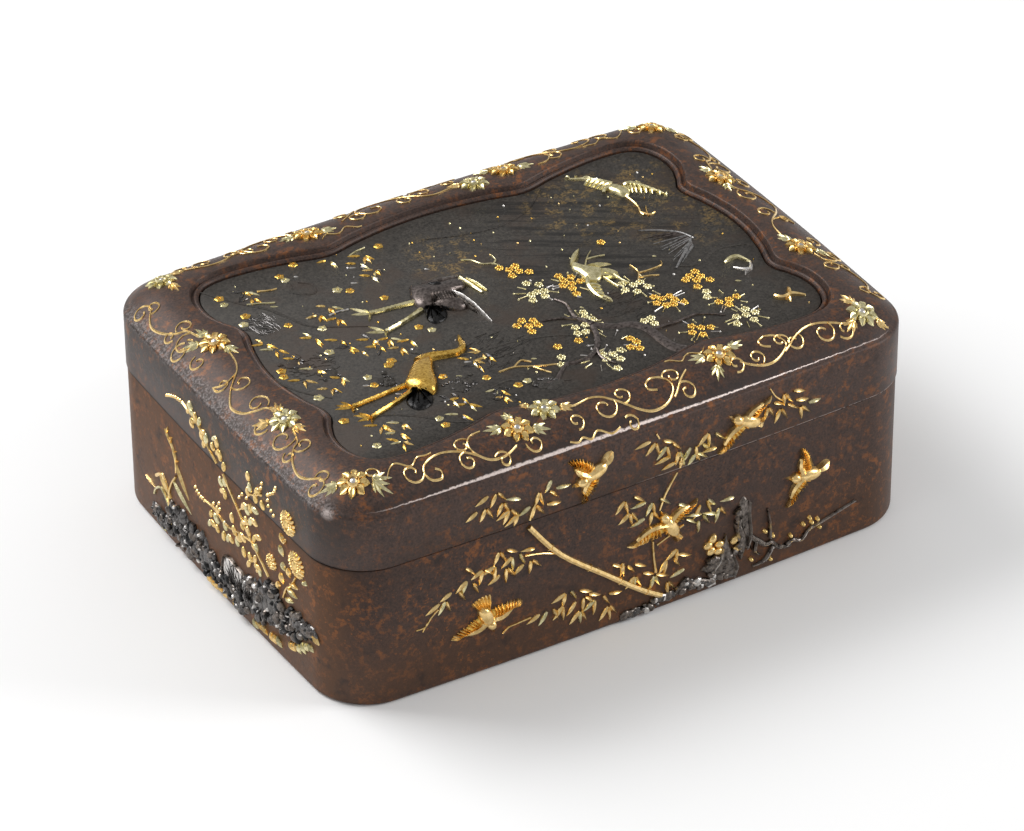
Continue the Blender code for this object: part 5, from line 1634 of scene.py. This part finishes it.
def build_left_plants():
    dice = random.Random(3)
    for node_name, fans in CLOVER_FANS.items():
        shapes = [sweep(on_left, smooth(path), [0.4, 0.5, 0.4], 0.4) for path in CLOVER_STEMS[node_name]]
        floor = LID_FOOT if "lid" in node_name else BASE_FOOT
        for y, z, headings in fans:
            for heading in headings:
                length = hanging(z, heading, 2.3 * dice.uniform(0.85, 1.15), floor)
                metal = dice.choice(["gold", "gold", "old", "old", "pale"])
                middle = polar((y, z), length / 2, heading)
                shapes.append(mound(on_left, disc(middle, length / 2, 12, 0.56, heading), 0.5, metal))
        for centre in CLOVER_BEADS[node_name]:
            shapes.append(bead(on_left, centre, 0.42, 0.5))
        inlay_node(node_name, shapes)
    inlay_node("chrysanthemum_lid", daisy((-28.5, 34.8), 2.7, 15))
    shapes = daisy((-30.7, 26.4), 2.9, 16) + daisy((-21.2, 21.4), 1.8, 11)
    shapes.append(sweep(on_left, smooth([(-30.4, 23.4), (-28.6, 20.4), (-26.6, 18.4), (-25.4, 15.8)]),
                        [0.4, 0.6], 0.45))
    for y, z, heading, length in (
        (-25.2, 30.6, -119, 2.4), (-24.7, 27.5, -119, 2.4), (-25.4, 23.9, -121, 1.9),
        (-27.6, 23.9, -104, 2.2), (-24.6, 21.0, -110, 2.5), (-23.5, 18.3, -96, 1.9), (-33.1, 24.2, -169, 1.5),
        (-28.2, 20.8, 177, 2.9), (-27.4, 18.9, -171, 3.2), (-26.4, 16.2, 172, 2.8), (-27.2, 29.8, -30, 1.4),
    ):
        shapes.append(blade(on_left, (y, z), polar((y, z), length, heading), 1.15, 0.6,
                            dice.choice(["gold", "gold", "pale"])))
    inlay_node("chrysanthemum_base", shapes)
    shapes = [
        sweep(on_left, smooth([(21.4, 27.2), (19.7, 25.5), (18.3, 24.3), (17.3, 21.7), (17.3, 19.2)]),
              [0.25, 0.45, 0.5], 0.45),
        sweep(on_left, smooth([(17.5, 18.2), (19.5, 15.4), (21.0, 12.0), (21.0, 8.3), (20.1, 5.1)]),
              [0.5, 0.6, 0.5], 0.5),
        sweep(on_left, smooth([(26.6, 13.0), (24.1, 14.7), (22.7, 13.9), (20.3, 11.2)]), [0.9, 0.9, 0.5],
              0.5),
        sweep(on_left, smooth([(27.8, 7.9), (26.9, 9.7), (24.5, 11.2), (22.3, 10.0), (21.0, 8.3)]),
              [0.5, 0.7, 0.5], 0.5, "pale"),
        blade(on_left, (17.1, 21.1), (12.4, 15.4), 0.9, 0.6, "gold", RIBBED),
        blade(on_left, (18.7, 16.3), (11.7, 12.5), 0.9, 0.6, "pale", RIBBED),
        blade(on_left, (31.5, 10.2), (27.4, 9.4), 0.6, 0.4),
        blade(on_left, (24.9, 14.4), (20.6, 11.0), 1.0, 0.6, "gold", RIBBED),
    ]
    for y, z, heading in (
        (20.6, 26.6, 100), (19.9, 25.9, 150), (19.4, 24.8, 110), (18.2, 23.6, 150), (17.6, 22.6, 60),
        (17.3, 21.6, 140),
    ):
        shapes.append(blade(on_left, (y, z), polar((y, z), 1.7, heading), 0.5, 0.4))
    inlay_node("pampas_grass", shapes)


def wave(tip, foot):
    """A shell-shaped patch of water: ridges that fan from its foot to a rounded crest."""
    heading = heading_of(foot, tip)
    reach = distance(foot, tip)
    crest = [polar(foot, reach * (1 - 0.25 * abs(i) / 7), heading + 9 * i) for i in range(-7, 8)]
    shapes = [mound(on_left, crest + [foot], 0.7, "silver")]
    for end in crest[1::2]:
        middle = polar(along(foot, end, 0.5), 0.08 * reach, heading + 90)
        shapes.append(sweep(on_left, smooth([foot, middle, end]), [0.12, 0.22, 0.16], [0.7, 0.85, 0.5],
                            "rock"))
    shapes.append(sweep(on_left, crest, 0.35, 0.75, "bark"))
    return shapes


ROCK_COLUMNS = 33
ROCK_LUMPS = 330
# Small leaves at the foot of the rocks
FOOT_LEAVES = [
    (24.5, 3.0), (4.7, 2.4), (3.2, 2.6), (1.9, 2.6), (0.4, 3.0), (-1.7, 2.8), (-5.6, 2.6), (-13.5, 3.1),
    (-15.4, 3.6), (-17.0, 3.8), (-20.2, 4.0), (-21.4, 4.2), (-22.6, 4.5), (-27.5, 6.4), (-28.6, 6.8),
    (-29.7, 7.2), (-30.8, 7.8), (-32.2, 9.0), (-33.6, 9.8), (-34.8, 10.4), (-35.7, 14.2), (-36.9, 13.4),
]


def build_left_rocks():
    dice = random.Random(9)
    shapes = []
    for i in range(ROCK_COLUMNS):
        y = 27.8 - 2.0 * i
        low = max(height_at(ROCK_FOOT, y), 1.8)
        high = height_at(ROCK_CREST, y)
        half = (high - low) / 2
        outline = disc((y, low + half), max(half - 0.2, 1.2), 9, 1.5 / max(half, 1.2), 90)
        shapes.append(mound(on_left, outline, 0.5, "rock"))
    for i in range(ROCK_LUMPS):
        y = dice.uniform(-36.2, 27.9)
        low = height_at(ROCK_FOOT, y)
        high = height_at(ROCK_CREST, y)
        if -9.5 < y < -0.5:
            high = min(high, 7.0)
        radius = dice.uniform(0.35, 1.4)
        z = max(low + (high - low) * dice.random(), radius * 1.2 + 0.3)
        metal = dice.choice(["rock", "rock", "rock", "rock", "bark", "silver", "bark", "dark", "dark"])
        radius = min(radius, 0.6) if metal == "silver" else radius
        shapes.append(rough_rock(on_left, (y, z), radius, dice.uniform(0.6, 1.35), dice, metal))
    for tip, foot in (((-2.6, 11.6), (-6.4, 7.0)), ((-6.0, 11.4), (-9.4, 6.6)), ((-9.6, 10.6), (-12.4, 6.8))):
        shapes += wave(tip, foot)
    shapes.sort(key=lambda shape: shape[2] != "rock")
    inlay_node("rocks_left", shapes)
    shapes = []
    for y, z in FOOT_LEAVES:
        tip = polar((y, z + 0.3), 2.3 * dice.uniform(0.8, 1.1), -118 + dice.uniform(-16, 16))
        tip = (tip[0], max(tip[1], BASE_FOOT))
        shapes.append(blade(on_left, (y, z + 0.3), tip, 0.62, 0.9, dice.choice(["gold", "gold", "pale"]),
                            KEELED))
    inlay("left_foot_leaves", shapes)


def build_hidden_sides():
    """Plainer inlays for the right end and the back, in keeping with the ones that show."""
    dice = random.Random(2)
    stem = [(-22.0, 4.0), (-16.0, 14.0), (-13.0, 28.0)]
    twig = [(-15.6, 16.0), (-9.0, 17.6), (-3.0, 16.4)]
    fans = []
    for x, z in ((-15.2, 16.4), (-12.0, 17.2), (-9.0, 17.6), (-6.0, 17.2), (-3.4, 16.4), (-1.6, 15.8)):
        fans.append((x, z, (-125, -80, -40)))
    shapes = bamboo(on_right, fans, [(stem, [1.3, 1.0], 0.8), (twig, [0.6, 0.4], 0.4)], BASE_FOOT, False,
                    dice)
    inlay_node("bamboo_right", shapes + knots(on_right, stem, (0.3, 0.6, 0.85), 1.5, 1.0))
    inlay_node("sparrow_right",
               sparrow(on_right, (3.2, 23.0), (6.2, 23.8), [(1.6, 28.2), (5.6, 18.0)], (-1.4, 21.2)))
    shapes = [
        sweep(on_back, smooth([(34.0, 5.0), (22.0, 12.0), (8.0, 13.0), (-6.0, 18.0), (-16.0, 17.0)]),
              [1.9, 1.4, 0.6], [1.0, 0.6], "rock"),
        sweep(on_back, smooth([(8.4, 13.0), (4.6, 17.0), (5.0, 21.0)]), [0.9, 0.5], 0.5, "rock"),
    ]
    for centre in ((-6.0, 18.6), (-7.8, 17.4), (5.0, 20.6), (18.0, 12.6), (19.8, 13.6), (-15.4, 17.2)):
        shapes += floret(on_back, centre, "gold", 1.25, dice.uniform(0, 72))
    inlay_node("plum_branch_back", shapes)
    inlay_node("sparrow_back",
               sparrow(on_back, (-6.6, 25.4), (-3.6, 26.2), [(-8.2, 30.4), (-4.4, 21.0)], (-11.2, 24.2)))


# Stage, light and camera

CAMERA_PLACE = (-0.44093, -0.74315, 0.60848)
CAMERA_TURN = (55.876, 0.406, -30.957)
CAMERA_LENS = 185.7
CAMERA_SHIFT = (0.00106, -0.0150)
SENSOR_WIDTH = 36
LIT_POINT = Vector((0, 0, 0.02))
FLOOR_REACH = 6.0
PAPER = (0.92, 0.92, 0.92)


def softbox(name, where, size, power):
    light = bpy.data.lights.new(name, "AREA")
    light.shape = "RECTANGLE"
    light.size, light.size_y = size
    light.energy = power
    made = bpy.data.objects.new(name, light)
    bpy.context.scene.collection.objects.link(made)
    made.location = where
    made.rotation_mode = "QUATERNION"
    made.rotation_quaternion = (LIT_POINT - made.location).to_track_quat("-Z", "Y")


def build_stage():
    mesh = bpy.data.meshes.new("floor")
    corners = [(x * FLOOR_REACH, y * FLOOR_REACH, 0) for x, y in ((-1, -1), (1, -1), (1, 1), (-1, 1))]
    mesh.from_pydata(corners, [], [(0, 1, 2, 3)])
    mesh.materials.append(new_material("floor_paper", PAPER, 0.9, 0.0))
    floor = bpy.data.objects.new("floor", mesh)
    bpy.context.scene.collection.objects.link(floor)
    world = bpy.data.worlds.new("studio")
    bpy.context.scene.world = world
    world.use_nodes = True
    background = world.node_tree.nodes["Background"].inputs
    background["Color"].default_value = (1, 1, 1, 1)
    background["Strength"].default_value = 0.5
    softbox("key", (-0.34, 0.46, 0.60), (0.45, 0.45), 5.0)
    softbox("front_right", (0.75, -0.50, 0.45), (0.35, 0.5), 4.2)
    softbox("left", (-0.80, -0.10, 0.40), (0.3, 0.5), 0.4)


def build_camera():
    data = bpy.data.cameras.new("camera")
    data.lens = CAMERA_LENS
    data.sensor_width = SENSOR_WIDTH
    data.shift_x, data.shift_y = CAMERA_SHIFT
    data.clip_start = 0.01
    data.clip_end = 50
    camera = bpy.data.objects.new("camera", data)
    bpy.context.scene.collection.objects.link(camera)
    camera.location = CAMERA_PLACE
    camera.rotation_euler = [radians(angle) for angle in CAMERA_TURN]
    bpy.context.scene.camera = camera


bpy.context.scene.view_settings.view_transform = "Standard"
build_base()
build_lid()
build_plate()
build_border()
build_standing_crane()
build_feeding_crane()
build_flying_cranes()
build_small_birds()
build_plate_picture()
build_plate_ground()
build_front_bamboo()
build_plum_tree()
build_left_plants()
build_left_rocks()
build_hidden_sides()
build_stage()
build_camera()
